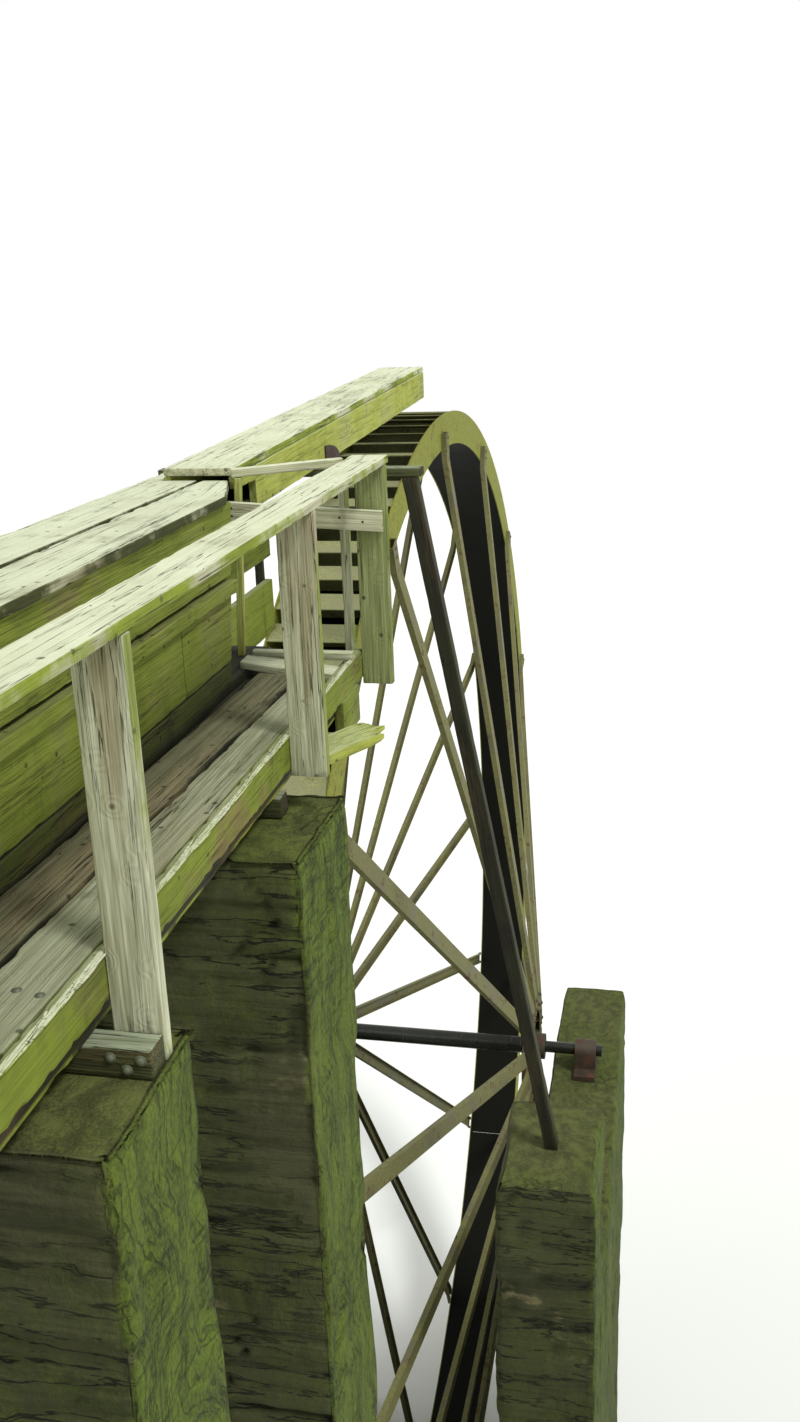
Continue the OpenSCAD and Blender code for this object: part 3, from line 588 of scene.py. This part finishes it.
# %% [markdown]
# ## The flume
# The lower flume is a deep trough of boards laid edge to edge, with a thicker batten part of the way up and two
# loose planks for a lid. Its solids touch each other, so each board is given here by its heights over the deck.
# The lid's right plank is sawn off slanting, and its left plank is notched round the upper flume: those take
# stations with their own widths.

# %% Lower flume
deck_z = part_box("lower_flume_floor")[1].z
WALL_BOARDS = [(0.0, 0.09, 0.0), (0.096, 0.392, 0.0), (0.401, 0.461, 0.03), (0.476, 0.802, 0.0)]
JOINT_BEFORE_LAST_POST = 1.179
WALL_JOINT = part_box("rail_posts")[1].y - JOINT_BEFORE_LAST_POST

def flume_wall(node, seed):
    """The wall's boards by their heights, each sawn off at the slope that the solid's end has."""
    low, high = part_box(node)
    sign = 1 if high.x > 0 else -1
    inner, outer = sorted((abs(low.x), abs(high.x)))
    outer -= WALL_BOARDS[2][2]
    points = np.concatenate(solids(node))
    foot_y = points[points[:, 2] < low.z + 0.001][:, 1].max()
    rake = (high.y - foot_y) / (high.z - low.z)
    parts = []
    for k, (z0, z1, proud) in enumerate(WALL_BOARDS):
        ends = [foot_y + rake * z0, foot_y + rake * z1]
        spans = [(low.y, [WALL_JOINT - 0.002] * 2), (WALL_JOINT + 0.002, ends)] if k == 1 else [(low.y, ends)]
        for j, (start, stop) in enumerate(spans):
            sides = (sign * inner, sign * (outer + proud))
            stations = [[[(x, y, deck_z + z) for x in sides] for y, z in zip(row, (z0, z1))]
                        for row in ([start, start], stop)]
            parts.append(board(stations, seed + 3 * k + j, edge=0.005, wear=1.4, wave=0.002))
    piece(node + "_foot", parts[:1], trough_foot, "mossy_wood")
    return piece(node + "_timber", parts[1:], trough, "mossy_wood", stands_for=[node])

flume_wall("lower_flume_right_wall", 131)
flume_wall("lower_flume_left_wall", 151)
timber_piece("lower_flume_floor", dark, "dark_wood", 171, step=0.08)
timber_piece("lower_flume_studs", dark, "dark_wood", 181)
timber_piece("flume_ledger", dark, "dark_wood", 201)

# %% Stations of a plank whose width changes
def lid_stations(rows):
    """Stations along Y for a plank of the lid, from rows of (y, left x, right x)."""
    low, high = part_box("lower_flume_cover")
    return [[[(x, y, z) for z in (low.z, high.z)] for x in (x0, x1)] for y, x0, x1 in rows]

def lid_outlines():
    """Reads the two planks' outlines from the solid itself: their ends and their slanting or notched corners."""
    left, right = sorted(solids("lower_flume_cover"), key=lambda p: p[:, 0].mean())
    tail = left[:, 1].min()
    corners = sorted({(round(float(y), 4), round(float(x), 4)) for x, y, _ in right})
    inner, outer = right[:, 0].min(), right[:, 0].max()
    slant_y = min(y for y, x in corners if x > inner + 0.01 and y > tail + 0.01)
    slant_x = next(x for y, x in corners[::-1] if x > inner + 0.01)
    end = right[:, 1].max()
    right_rows = [(tail, inner, outer), (slant_y, inner, outer), (end, inner, slant_x)]
    far = left[:, 1].max()
    notch_y = second_value(left[:, 1])
    notch_x = float(left[np.isclose(left[:, 1], far)][:, 0].max())
    low_x, high_x = left[:, 0].min(), left[:, 0].max()
    left_rows = [(tail, low_x, high_x), (notch_y, low_x, high_x), (notch_y + 0.003, low_x, notch_x),
                 (far, low_x, notch_x)]
    return left_rows, right_rows

lid_left, lid_right = lid_outlines()
piece("lower_flume_lid", [
    board(lid_stations(rows), seed, edge=0.006, wear=wear, wave=0.003, step=0.03)
    for rows, seed, wear in ((lid_right, 211, 2.6), (lid_left, 221, 1.6))
], lid_wood, "bleached_wood", stands_for=["lower_flume_cover"])

# %% Upper flume
def upper_side(points, seed):
    """One side board of the upper flume: full depth, with the lower part of its near end cut away."""
    x0, x1 = points[:, 0].min(), points[:, 0].max()
    near, far = points[:, 1].min(), points[:, 1].max()
    step_y = second_value(points[:, 1])
    at = lambda y, pick: float(pick(points[np.isclose(points[:, 1], y, atol=2e-4)][:, 2]))
    top = lambda y: np.interp(y, [near, far], [at(near, max), at(far, max)])
    bottom = lambda y: np.interp(y, [step_y, far], [at(step_y, min), at(far, min)])
    nose = at(near, min)
    rows = [(near, nose), (step_y - 0.003, nose), (step_y, bottom(step_y)), (far, bottom(far))]
    stations = [[[(x0, y, z), (x1, y, z)], [(x0, y, top(y)), (x1, y, top(y))]] for y, z in rows]
    return board(stations, seed, edge=0.005, wear=1.0, wave=0.002)

piece("upper_flume_side_boards", [upper_side(p, 231 + k) for k, p in enumerate(solids("upper_flume_sides"))],
      sunlit_algae, "mossy_wood", stands_for=["upper_flume_sides"])
timber_piece("upper_flume_cover", bleached, "bleached_wood", 241, edge=0.006, wear=1.2, wave=0.002)
timber_piece("upper_flume_floor", dark, "dark_wood", 251, step=0.08)
timber_piece("splash_boards", mossy, "mossy_wood", 261, step=0.06)
timber_piece("board_hanger", dark, "dark_wood", 271)
timber_piece("trestle_beam", outrigger, "dark_wood", 281)
timber_piece("trestle_legs", dark, "dark_wood", 291, edge=0.006, step=0.06)

# %% [markdown]
# ## Rubble masonry
# The piers and pit walls are thin-bedded stones laid in rough courses, with mortar smeared over the sides that
# face the valley. Stacking thousands of separate stones would cost too many faces, and a bump alone would leave
# the piers' edges dead straight. So each block becomes one closed surface with a point every few centimetres,
# and every point is pushed in or out by the stone that it lies on.

# %% Stones on a surface
COURSE_LOW, COURSE_HIGH = 0.05, 0.26
STONE_SHORT, STONE_LONG = 0.30, 0.95

def ring_of(nx, ny):
    """Grid places once round a block's plan, anticlockwise from its lowest corner."""
    i = np.concatenate([np.arange(nx), np.full(ny, nx), np.arange(nx, 0, -1), np.zeros(ny)]).astype(int)
    j = np.concatenate([np.zeros(nx), np.arange(ny), np.full(nx, ny), np.arange(ny, 0, -1)]).astype(int)
    return i, j

def stone_relief(points, way, seed, low_z):
    """The height picks a course, the way round picks a stone in it, and the stone's hash sets how proud it stands.
    Joints are cut in where mortar has gone, and thin beds ripple the face. Gives the push, tone and joint."""
    beds = low_z + np.cumsum(np.random.default_rng(seed).uniform(COURSE_LOW, COURSE_HIGH, 400)) - 0.3
    level = points[..., 2] + 0.06 * ripple(points, 1.1, seed, 2) + 0.02 * ripple(points, 0.22, seed + 1, 2)
    course = np.searchsorted(beds, level)
    under, over = level - beds[course - 1], beds[course] - level
    none = course * 0
    pitch = STONE_SHORT + (STONE_LONG - STONE_SHORT) * hashed(course, none, none + 3, seed)
    run = way[None, :] / pitch + 9 * hashed(course, none + 5, none, seed) + 0.3 * ripple(points, 0.35, seed + 2, 1)
    stone = np.floor(run).astype(np.int64)
    beside = np.minimum(run - stone, 1 - (run - stone)) * pitch
    gap = np.minimum(np.minimum(under, over), beside)
    joint = np.clip(1 - gap / 0.018, 0, 1) * np.clip(0.6 + 1.4 * ripple(points, 0.5, seed + 14, 2), 0, 1)
    tone = hashed(course, stone, none + 11, seed)
    proud = hashed(course, stone, none + 17, seed)
    tilt = (hashed(course, stone, none + 23, seed) - 0.5) * (run - stone - 0.5) * 0.04
    thin_beds = 0.007 * ripple(points * (1, 1, 7), 0.3, seed + 6, 3)
    push = -0.010 - 0.026 * proud + tilt - 0.030 * joint + thin_beds + 0.006 * ripple(points, 0.08, seed + 7, 2)
    return push, tone, joint

def smeared_relief(points, seed):
    """Mortar slapped on with a trowel: slashes drawn out upwards along lines that wander, a few deep cuts between
    them, and broad hollows."""
    wander = points[..., 1] + 0.12 * points[..., 2] + 0.3 * ripple(points, 0.9, seed + 9, 2)
    drawn = np.stack([points[..., 0], wander, 0.25 * points[..., 2]], -1)
    cuts = np.clip(ripple(drawn, 0.11, seed + 18, 1) - 0.3, 0, 1)
    return -0.014 + 0.013 * ripple(drawn, 0.14, seed + 8, 1) - 0.06 * cuts + 0.022 * ripple(points, 0.5, seed + 10, 3)

def masonry(low, high, seed, step, plaster_side):
    """A block of rubble: a ring of points at each level, pushed in or out along the face's normal, and a grid of
    points over each end whose plan is blended from the ring by a Coons patch, the sum of the two ruled surfaces
    between opposite edges less the surface through the corners."""
    low, high = np.array(low, float), np.array(high, float)
    size = high - low
    nx, ny, nz = (max(3, int(round(v / step))) for v in size)
    i, j = ring_of(nx, ny)
    xy = low[:2] + np.stack([i / nx, j / ny], 1) * size[:2]
    normal = np.stack([1.0 * (i == nx) - (i == 0), 1.0 * (j == ny) - (j == 0)], 1)
    way = np.concatenate([[0], np.cumsum(np.linalg.norm(np.diff(xy, axis=0), axis=1))])
    z = np.linspace(low[2], high[2], nz + 1)
    points = spread(xy[None, :, 0], xy[None, :, 1], z[:, None])
    stones, tone, joint = stone_relief(points, way, seed, low[2])
    facing = np.clip(normal[:, 0], 0, 1)[None, :] * plaster_side
    plaster = np.clip(0.05 + 1.1 * facing + 0.75 * ripple(points, 0.8, seed + 4, 3), 0, 1)
    push = np.clip(stones * (1 - plaster) + smeared_relief(points, seed) * plaster, -0.075, 0.008)
    corner = np.abs(normal).sum(1) > 1.5
    push[:, corner] -= 0.014 * (1 + ripple(points[:, corner], 0.28, seed + 12, 3))
    push[-1] -= 0.022
    push[-2] -= 0.006
    points[..., :2] += push[..., None] * normal[None]
    count = len(i)
    ring = np.arange((nz + 1) * count).reshape(nz + 1, count)
    beyond = np.roll(ring, -1, axis=1)
    faces = [np.stack([ring[:-1], beyond[:-1], beyond[1:], ring[1:]], -1).reshape(-1, 4)]
    surface = [points.reshape(-1, 3)]
    values = [np.stack([tone, joint * (1 - plaster), plaster], -1).reshape(-1, 3)]
    made = (nz + 1) * count
    u, v = (np.arange(n + 1) / n for n in (nx, ny))
    u, v = u[:, None, None], v[None, :, None]
    for level, up in ((0, False), (nz, True)):
        grid = np.zeros((nx + 1, ny + 1, 3))
        grid[i, j] = points[level]
        blend = (grid[:, :1] * (1 - v) + grid[:, -1:] * v + grid[:1] * (1 - u) + grid[-1:] * u
                 - grid[0, 0] * (1 - u) * (1 - v) - grid[-1, 0] * u * (1 - v)
                 - grid[0, -1] * (1 - u) * v - grid[-1, -1] * u * v)
        inner = blend[1:-1, 1:-1]
        if up:
            inner[..., 2] -= 0.004 * (1 + ripple(inner, 0.2, seed + 16, 3))
        index = np.zeros((nx + 1, ny + 1), int)
        index[i, j] = ring[level]
        index[1:-1, 1:-1] = made + np.arange((nx - 1) * (ny - 1)).reshape(nx - 1, ny - 1)
        made += (nx - 1) * (ny - 1)
        surface.append(inner.reshape(-1, 3))
        values.append(np.broadcast_to([0.5, 0.0, 0.8], surface[-1].shape))
        quads = np.stack([index[:-1, :-1], index[1:, :-1], index[1:, 1:], index[:-1, 1:]], -1).reshape(-1, 4)
        faces.append(quads if up else quads[:, ::-1])
    return np.concatenate(surface), np.concatenate(faces), np.concatenate(values)

print("courses", COURSE_LOW, "to", COURSE_HIGH, "m")

# %% The masonry's finish
def rubble(name):
    """Thin-bedded stone by each stone's own tone, mortar with trowel strokes, dark cracks that follow the beds,
    algae in broad patches that grow thicker on the side that faces +X, and damp from the ground up. The faces that
    look upstream are painted darker as shade, with pale patches on them that are partly cream stone and partly
    painted sunlight."""
    r = Recipe(bpy.data.materials.new(name))
    where = r.place()
    x, y, z = (where.part(axis) for axis in "XYZ")
    stone = r.own("stone")
    tone, joint, plaster = stone.part("X"), stone.part("Y"), stone.part("Z")
    beds = r.noise(where.times(2.2, 2.2, 36.0), 1.0, 5.0, 0.6)
    grit = r.noise(where, 38.0, 4.0, 0.65)
    broad = r.noise(where, 0.9, 4.0, 0.6)
    wander = y + z * 0.12 + (r.noise(where, 1.1, 2.0) - 0.5) * 0.8

    def drawn_up(wide, tall, detail):
        at = r.node("ShaderNodeCombineXYZ", {}, {"X": x * wide, "Y": wander * wide, "Z": z * tall})
        return r.noise(at, 1.0, detail, 0.65)

    stroke = drawn_up(11.0, 2.6, 5.0)
    slash = abs(drawn_up(9.0, 2.0, 3.0) - 0.5).smooth(0.022, 0.005) * grit.smooth(0.4, 0.55) * plaster
    slash = slash * r.facing("Z").smooth(0.7, 0.3)
    fleck = r.noise(where.times(1.0, 1.0, 0.6), 95.0, 4.0, 0.7)
    split = abs(r.noise(where.times(1.1, 1.1, 9.0), 1.0, 5.0, 0.6) - 0.5).smooth(0.016, 0.004)
    crack = split * broad.smooth(0.42, 0.55) * (1 - plaster * 0.6)
    grain = (beds * 0.75 + grit * 0.25).smooth(0.3, 0.7)
    colour = r.mix((0.045, 0.046, 0.018), (0.16, 0.155, 0.08), (tone * 0.45 + grain * 0.65 - 0.05).clamp())
    mortar = r.mix((0.045, 0.052, 0.010), (0.15, 0.17, 0.04), (stroke * 0.6 + fleck * 0.4).smooth(0.4, 0.6))
    colour = r.mix(colour, mortar, (plaster * 0.85).clamp())
    side = r.facing("X").smooth(0.1, 0.9)
    away = r.facing("Y").smooth(-0.2, -0.9)
    growth = (broad.smooth(0.35, 0.62) * 0.5 + side * 0.75) * (grit * 0.5 + stroke * 0.5).smooth(0.26, 0.55)
    lush = stroke.smooth(0.34, 0.62) * 0.45 + grit.smooth(0.35, 0.65) * 0.2 + fleck.smooth(0.4, 0.6) * 0.4
    algae = r.mix((0.025, 0.045, 0.004), (0.125, 0.172, 0.016), lush.clamp())
    colour = r.mix(colour, algae, growth.clamp())
    # Pale patches on the faces that look upstream: partly cream stone, partly painted sun patches.
    bare = r.noise(where.times(1.0, 1.0, 1.6), 1.4, 5.0, 0.65).smooth(0.60, 0.68) * away
    colour = r.mix(colour, r.mix((0.16, 0.13, 0.06), (0.36, 0.32, 0.17), grain), bare * 0.65)
    # Darker with damp towards the bottom and in the joints, and darker on the faces that look upstream: painted shade
    # of the deck and trees.
    damp = (z * -0.10 + 1.0 + broad * 0.5).clamp()
    colour = r.mix(colour, (0.020, 0.024, 0.008), (damp * 0.4 + away * 0.32 + joint * 0.6).clamp() * (1 - bare * 0.6))
    colour = r.mix(colour, (0.008, 0.009, 0.004), (crack * 0.85 + slash * 0.4).clamp())
    stony = beds * 0.5 * (1 - plaster * 0.7) + grit * 0.25 + fleck * 0.15
    height = stony + stroke * 1.1 * plaster - joint * 0.5 - crack * 0.9 - slash * 0.4
    return r.finish(colour, 0.95 - grit * 0.15, height, 0.022, Specular_IOR_Level=0.25)

masonry_finish = rubble("mossy rubble")
NEAR_PIER_STEP, FAR_PIER_STEP, WALL_STEP = 0.031, 0.046, 0.07
for k in range(1, 5):
    node = f"stone_pier_{k}"
    step = NEAR_PIER_STEP if k < 3 else FAR_PIER_STEP
    part = masonry(*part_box(node), 300 + 20 * k, step, 1.0)
    piece(f"pier_{k}_rubble", [part], masonry_finish, "rubble_stone", stands_for=[node])

# %% Pit walls: a high footing and a lower bearing wall
for node, seed in (("pit_wall_right", 401), ("pit_wall_left", 431)):
    low, high = (np.array(v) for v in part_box(node))
    profile = solids(node)[0]
    seat = second_value(profile[:, 2])
    step_y = second_value(profile[:, 1])
    footing = masonry(low, (high[0], step_y, high[2]), seed, WALL_STEP, 0.6)
    wall = masonry((low[0], step_y - 0.03, low[2]), (high[0], high[1], seat), seed + 5, WALL_STEP, 0.6)
    piece(node.replace("pit_wall", "pit_rubble"), [footing, wall], masonry_finish, "rubble_stone",
          stands_for=[node])

# %% [markdown]
# ## The wheel's steel
# The rings, arms and buckets are plates that have rusted and then grown a thin olive film where the water keeps
# them wet. The solids already have the right form, so they stay, and only their finish changes. The film is read
# from the object's own coordinates, so that it turns with the wheel.

# %% The steel recipe
def steel(name, bare, film, film_share, rust, rust_share, rough, metal, shine=0.5):
    """Bare plate, then a patchy film over it, then rust spots, each mixed in by its own noise."""
    r = Recipe(bpy.data.materials.new(name))
    where = r.place()
    broad = r.noise(where, 3.0, 5.0, 0.62)
    fine = r.noise(where, 55.0, 4.0, 0.65)
    colour = r.mix(darker(bare, 0.6), bare, fine)
    cover = (broad.smooth(0.62 - 0.4 * film_share, 0.72 - 0.4 * film_share) * film_share).clamp()
    colour = r.mix(colour, r.mix(darker(film, 0.55), film, fine.smooth(0.3, 0.7)), cover)
    spots = r.noise(where, 9.0, 6.0, 0.7)
    rusty = (spots.smooth(0.66 - 0.25 * rust_share, 0.74 - 0.25 * rust_share)).clamp()
    colour = r.mix(colour, r.mix(darker(rust, 0.5), rust, fine), rusty * min(1.0, rust_share * 2))
    roughness = (cover * 0.25 + rusty * 0.3 + rough + fine * 0.1).clamp()
    metallic = ((1 - cover * 0.8) * (1 - rusty * 0.85) * metal).clamp()
    height = fine * 0.4 + spots * 0.5 + broad * 0.3
    return r.finish(colour, roughness, height, 0.003, Metallic=metallic, Specular_IOR_Level=shine)

RUST = (0.12, 0.045, 0.018)
finishes = {
    "shroud": steel("olive ring plates", (0.20, 0.19, 0.05), (0.27, 0.29, 0.03), 0.85, RUST, 0.3, 0.5, 0.1, 0.3),
    # The sole plate is dark wet steel, painted nearly black on top of that for the shade inside the wheel.
    "sole": steel("sole plate in painted shade", (0.006, 0.006, 0.004), (0.012, 0.013, 0.006), 0.3, RUST, 0.05, 0.7, 0.0, 0.1),
    "bucket": steel("pale bucket plates", (0.34, 0.34, 0.17), (0.37, 0.39, 0.15), 0.5, RUST, 0.25, 0.55, 0.1, 0.35),
    "arm": steel("rusted arms", (0.15, 0.14, 0.065), (0.21, 0.21, 0.06), 0.55, RUST, 0.35, 0.5, 0.15, 0.35),
    "hub": steel("rusty castings", (0.07, 0.05, 0.035), (0.10, 0.10, 0.04), 0.3, RUST, 0.6, 0.55, 0.3),
    "axle": steel("wet black axle", (0.035, 0.038, 0.03), (0.05, 0.06, 0.035), 0.25, RUST, 0.15, 0.16, 0.6),
    "bolt": steel("dull bolts", (0.16, 0.17, 0.12), (0.14, 0.17, 0.07), 0.4, RUST, 0.2, 0.5, 0.3),
    "nail": steel("rusty nails", (0.05, 0.035, 0.02), (0.05, 0.05, 0.02), 0.2, RUST, 0.6, 0.7, 0.1),
    "plate": steel("rusty sheet", (0.04, 0.02, 0.012), (0.04, 0.035, 0.015), 0.2, (0.055, 0.022, 0.012), 0.8, 0.7,
                   0.1),
}
carried = {
    "shroud": ["shroud_right", "shroud_left"], "sole": ["sole_plate"], "bucket": ["buckets"],
    "arm": ["arms_right", "arms_left"], "hub": ["hub_right", "hub_left", "bearing_right", "bearing_left"],
    "axle": ["axle"], "plate": ["half_round_plate"],
}
for finish, names in carried.items():
    for node in names:
        mesh = nodes[node].data
        mesh.materials.clear()
        mesh.materials.append(finishes[finish])
print("steel finishes on", sum(len(v) for v in carried.values()), "solids")

# %% [markdown]
# ## Bolts
# Bolt heads show on the outriggers under the posts, at the arms' outer ends and round the hubs. A head
# is a small dome on a washer: one profile turned about an axis, made once, then copied to each place as arrays.

# %% A domed bolt head, and many of them
def dome(radius, height, sides=12):
    """A profile of washer and dome turned about Z: quarter-ellipse radii against heights, closed at the top."""
    t = np.linspace(0, math.pi / 2, 5)
    profile = [(1.35, -0.2), (1.35, 0.12), (1.02, 0.16)] + [(math.cos(a), 0.16 + 0.84 * math.sin(a)) for a in t[:-1]]
    profile = np.array(profile) * (radius, height)
    turn = np.linspace(0, 2 * math.pi, sides, endpoint=False)
    rings = spread(profile[:, :1] * np.cos(turn), profile[:, :1] * np.sin(turn), profile[:, 1:])
    points, faces = closed_tube(rings)
    points[-1, 2] = height
    return points, faces

def bolt_heads(places, normals, radius, height):
    """Copies one head to every place, turned so that its top looks along the normal."""
    points, faces = dome(radius, height)
    parts = []
    for place, normal in zip(places, normals):
        turn = np.array(Vector(normal).to_track_quat("Z", "X").to_matrix())
        parts.append((points @ turn.T + place, faces))
    return parts

outriggers = [b for b in solids("bearers") if b[:, 0].max() > 0.85]
places = []
for b in outriggers:
    low, high = b.min(0), b.max(0)
    edge_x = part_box("rail_posts")[0].x
    span, tall = high[0] - edge_x, high[2] - low[2]
    places += [(edge_x + u * span, low[1], low[2] + v * tall) for u, v in ((0.2, 0.68), (0.78, 0.66), (0.5, 0.3))]
piece("outrigger_bolts", bolt_heads(places, [(0, -1, 0)] * len(places), 0.013, 0.011), finishes["bolt"],
      "bucket_steel")

# %% Bolts in the deck, nails in the rails
deck_edge, deck_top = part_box("deck_planks")[1].x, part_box("deck_planks")[1].z
places = [(deck_edge - inward, b[:, 1].min() - upstream, deck_top - 0.001)
          for b in outriggers for inward, upstream in ((0.107, 0.112), (0.034, 0.127))]
piece("deck_bolts", bolt_heads(places, [(0, 0, 1)] * len(places), 0.011, 0.006), finishes["bolt"], "bucket_steel")

def on_face(face, along, up):
    """A place on a board's face from its four corners, by its shares along the board and up it."""
    low, high = (face[0, k] * (1 - along) + face[1, k] * along for k in (0, 1))
    return low * (1 - up) + high * up

end_face = corner_block(solids("end_rail_lower")[0])[:, 0]
out = np.cross(end_face[1, 0] - end_face[0, 0], end_face[0, 1] - end_face[0, 0])
out = out / np.linalg.norm(out)
places = [on_face(end_face, *shares) for shares in ((0.72, 0.58), (0.867, 0.44), (0.03, 0.72), (0.03, 0.36))]
rail_low, rail_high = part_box("top_rail")
rail_nails = [(rail_low.x + inward, p[:, 1].mean() + 0.114, rail_high.z - 0.0015)
              for p in solids("rail_posts") for inward in (0.036, 0.101)]
rail_nails = [p for p in rail_nails if p[1] < rail_high.y - 0.05]
piece("rail_nails", bolt_heads(places, [out] * len(places), 0.0045, 0.002)
      + bolt_heads(rail_nails, [(0, 0, 1)] * len(rail_nails), 0.004, 0.002), finishes["nail"], "rust_plate")

axle_low, axle_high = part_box("axle")
axle_y, axle_z = (axle_low.y + axle_high.y) / 2, (axle_low.z + axle_high.z) / 2
arm_count = len(solids("arms_right"))
seat_x = min(p[:, 0].min() for p in solids("arms_right"))
ARM_DEPTH = 0.045
HUB_PLATE_X = 1.020
FIRST_ARM = math.radians(-1.2)

def round_axle(x, radius, angle):
    """A point at a distance from the axle, at an angle from straight up towards downstream."""
    return (x, axle_y + radius * math.sin(angle), axle_z + radius * math.cos(angle))

angles = FIRST_ARM + np.arange(arm_count) * 2 * math.pi / arm_count

def wheel_bolts(name, x, radii, size, finish, slot):
    """Bolts on both sides of the wheel: one at each radius on each arm, at a distance x from the middle plane."""
    spots = [(s, a, r) for s in (1, -1) for a in angles for r in radii]
    heads = [round_axle(s * x, r, a) for s, a, r in spots]
    piece(name, bolt_heads(heads, [(s, 0, 0) for s, _, _ in spots], *size), finishes[finish], slot, body="wheel")

wheel_bolts("arm_bolts", seat_x + ARM_DEPTH, (5.85, 5.92), (0.016, 0.014), "arm", "arm_steel")
wheel_bolts("hub_bolts", HUB_PLATE_X + ARM_DEPTH, (0.41, 0.51), (0.018, 0.016), "hub", "hub_iron")

# %% [markdown]
# ## Floor, light and camera
# The object stands on a plain pale floor under soft studio light. The camera stands where the photographer did,
# above the flume on the upstream side, and looks down at the wheel. The background is made white by the world's
# colour for camera and mirror rays only, so that it adds no light to the object.

# %% Floor and world
FLOOR_HALF, FLOOR_DROP = 70.0, 0.004

def pale_floor():
    """A large square at the foot of the piers, a little under them."""
    half, z = FLOOR_HALF, cad_low.z - FLOOR_DROP
    mesh = bpy.data.meshes.new("floor")
    mesh.from_pydata([(-half, -half, z), (half, -half, z), (half, half, z), (-half, half, z)], [], [(0, 1, 2, 3)])
    floor = add_object("floor", mesh)
    r = Recipe(bpy.data.materials.new("floor"))
    shader = r.node("ShaderNodeBsdfPrincipled", {}, {"Base Color": (0.82, 0.82, 0.80, 1), "Roughness": 0.9})
    r.node("ShaderNodeOutputMaterial", {}, {"Surface": shader})
    mesh.materials.append(r.owner)
    floor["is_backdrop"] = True

def white_world(strength):
    """Plain white for what the camera, mirrors and glass see, and a dimmer white for what lights the object."""
    world = bpy.data.worlds.new("studio")
    bpy.context.scene.world = world
    r = Recipe(world)
    camera, glossy, through = (r.node("ShaderNodeLightPath", {}, {}, f"Is {kind} Ray")
                               for kind in ("Camera", "Glossy", "Transmission"))
    seen = camera.math("MAXIMUM", glossy).math("MAXIMUM", through)
    lit = r.node("ShaderNodeBackground", {}, {"Color": (0.97, 1.0, 0.96, 1), "Strength": strength})
    shown = r.node("ShaderNodeBackground", {}, {"Color": (1, 1, 1, 1)})
    r.node("ShaderNodeOutputWorld", {}, {"Surface": r.node("ShaderNodeMixShader", {}, {0: seen, 1: lit, 2: shown})})

pale_floor()
white_world(0.75)

# %% Lamps
def sun(name, heading, height, strength, soft):
    """A soft distant lamp from a heading (degrees from +Y towards +X) and a height above the horizon."""
    data = bpy.data.lights.new(name, "SUN")
    data.energy = strength
    data.angle = math.radians(soft)
    lamp = add_object(name, data)
    h, e = math.radians(heading), math.radians(height)
    towards = Vector((math.sin(h) * math.cos(e), math.cos(h) * math.cos(e), math.sin(e)))
    lamp.rotation_mode = "QUATERNION"
    lamp.rotation_quaternion = towards.to_track_quat("Z", "Y")

sun("key", 120, 55, 1.9, 12)
sun("fill", 215, 35, 0.5, 40)
bpy.context.scene.view_settings.view_transform = "Standard"

# %% The photographer's place
CAMERA_PLACE = (2.2258, -8.0191, 13.5044)
YAW, PITCH, ROLL = 0.2134, 0.3171, -0.0376
LENS = 32.91

def photo_camera():
    """Looks along +Y turned by yaw towards -X, tipped down by pitch, and rolled about its own line of sight."""
    level = Vector((-math.sin(YAW), math.cos(YAW), 0))
    right = Vector((math.cos(YAW), math.sin(YAW), 0))
    up = Vector((0, 0, 1))
    ahead = level * math.cos(PITCH) - up * math.sin(PITCH)
    above = level * math.sin(PITCH) + up * math.cos(PITCH)
    side = right * math.cos(ROLL) + above * math.sin(ROLL)
    top = above * math.cos(ROLL) - right * math.sin(ROLL)
    data = bpy.data.cameras.new("photographer")
    data.lens = LENS
    data.clip_end = 300
    camera = add_object("photographer", data)
    turn = Matrix((side, top, -ahead)).transposed().to_4x4()
    camera.matrix_world = Matrix.Translation(CAMERA_PLACE) @ turn
    bpy.context.scene.camera = camera

photo_camera()
print("triangles added:", sum(counted))

# %% [markdown]
# ## The dressed model's box
# The dressed model has to stay in the box of the solids, so its box is measured again here.

# %% Sizes and finish
low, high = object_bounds()
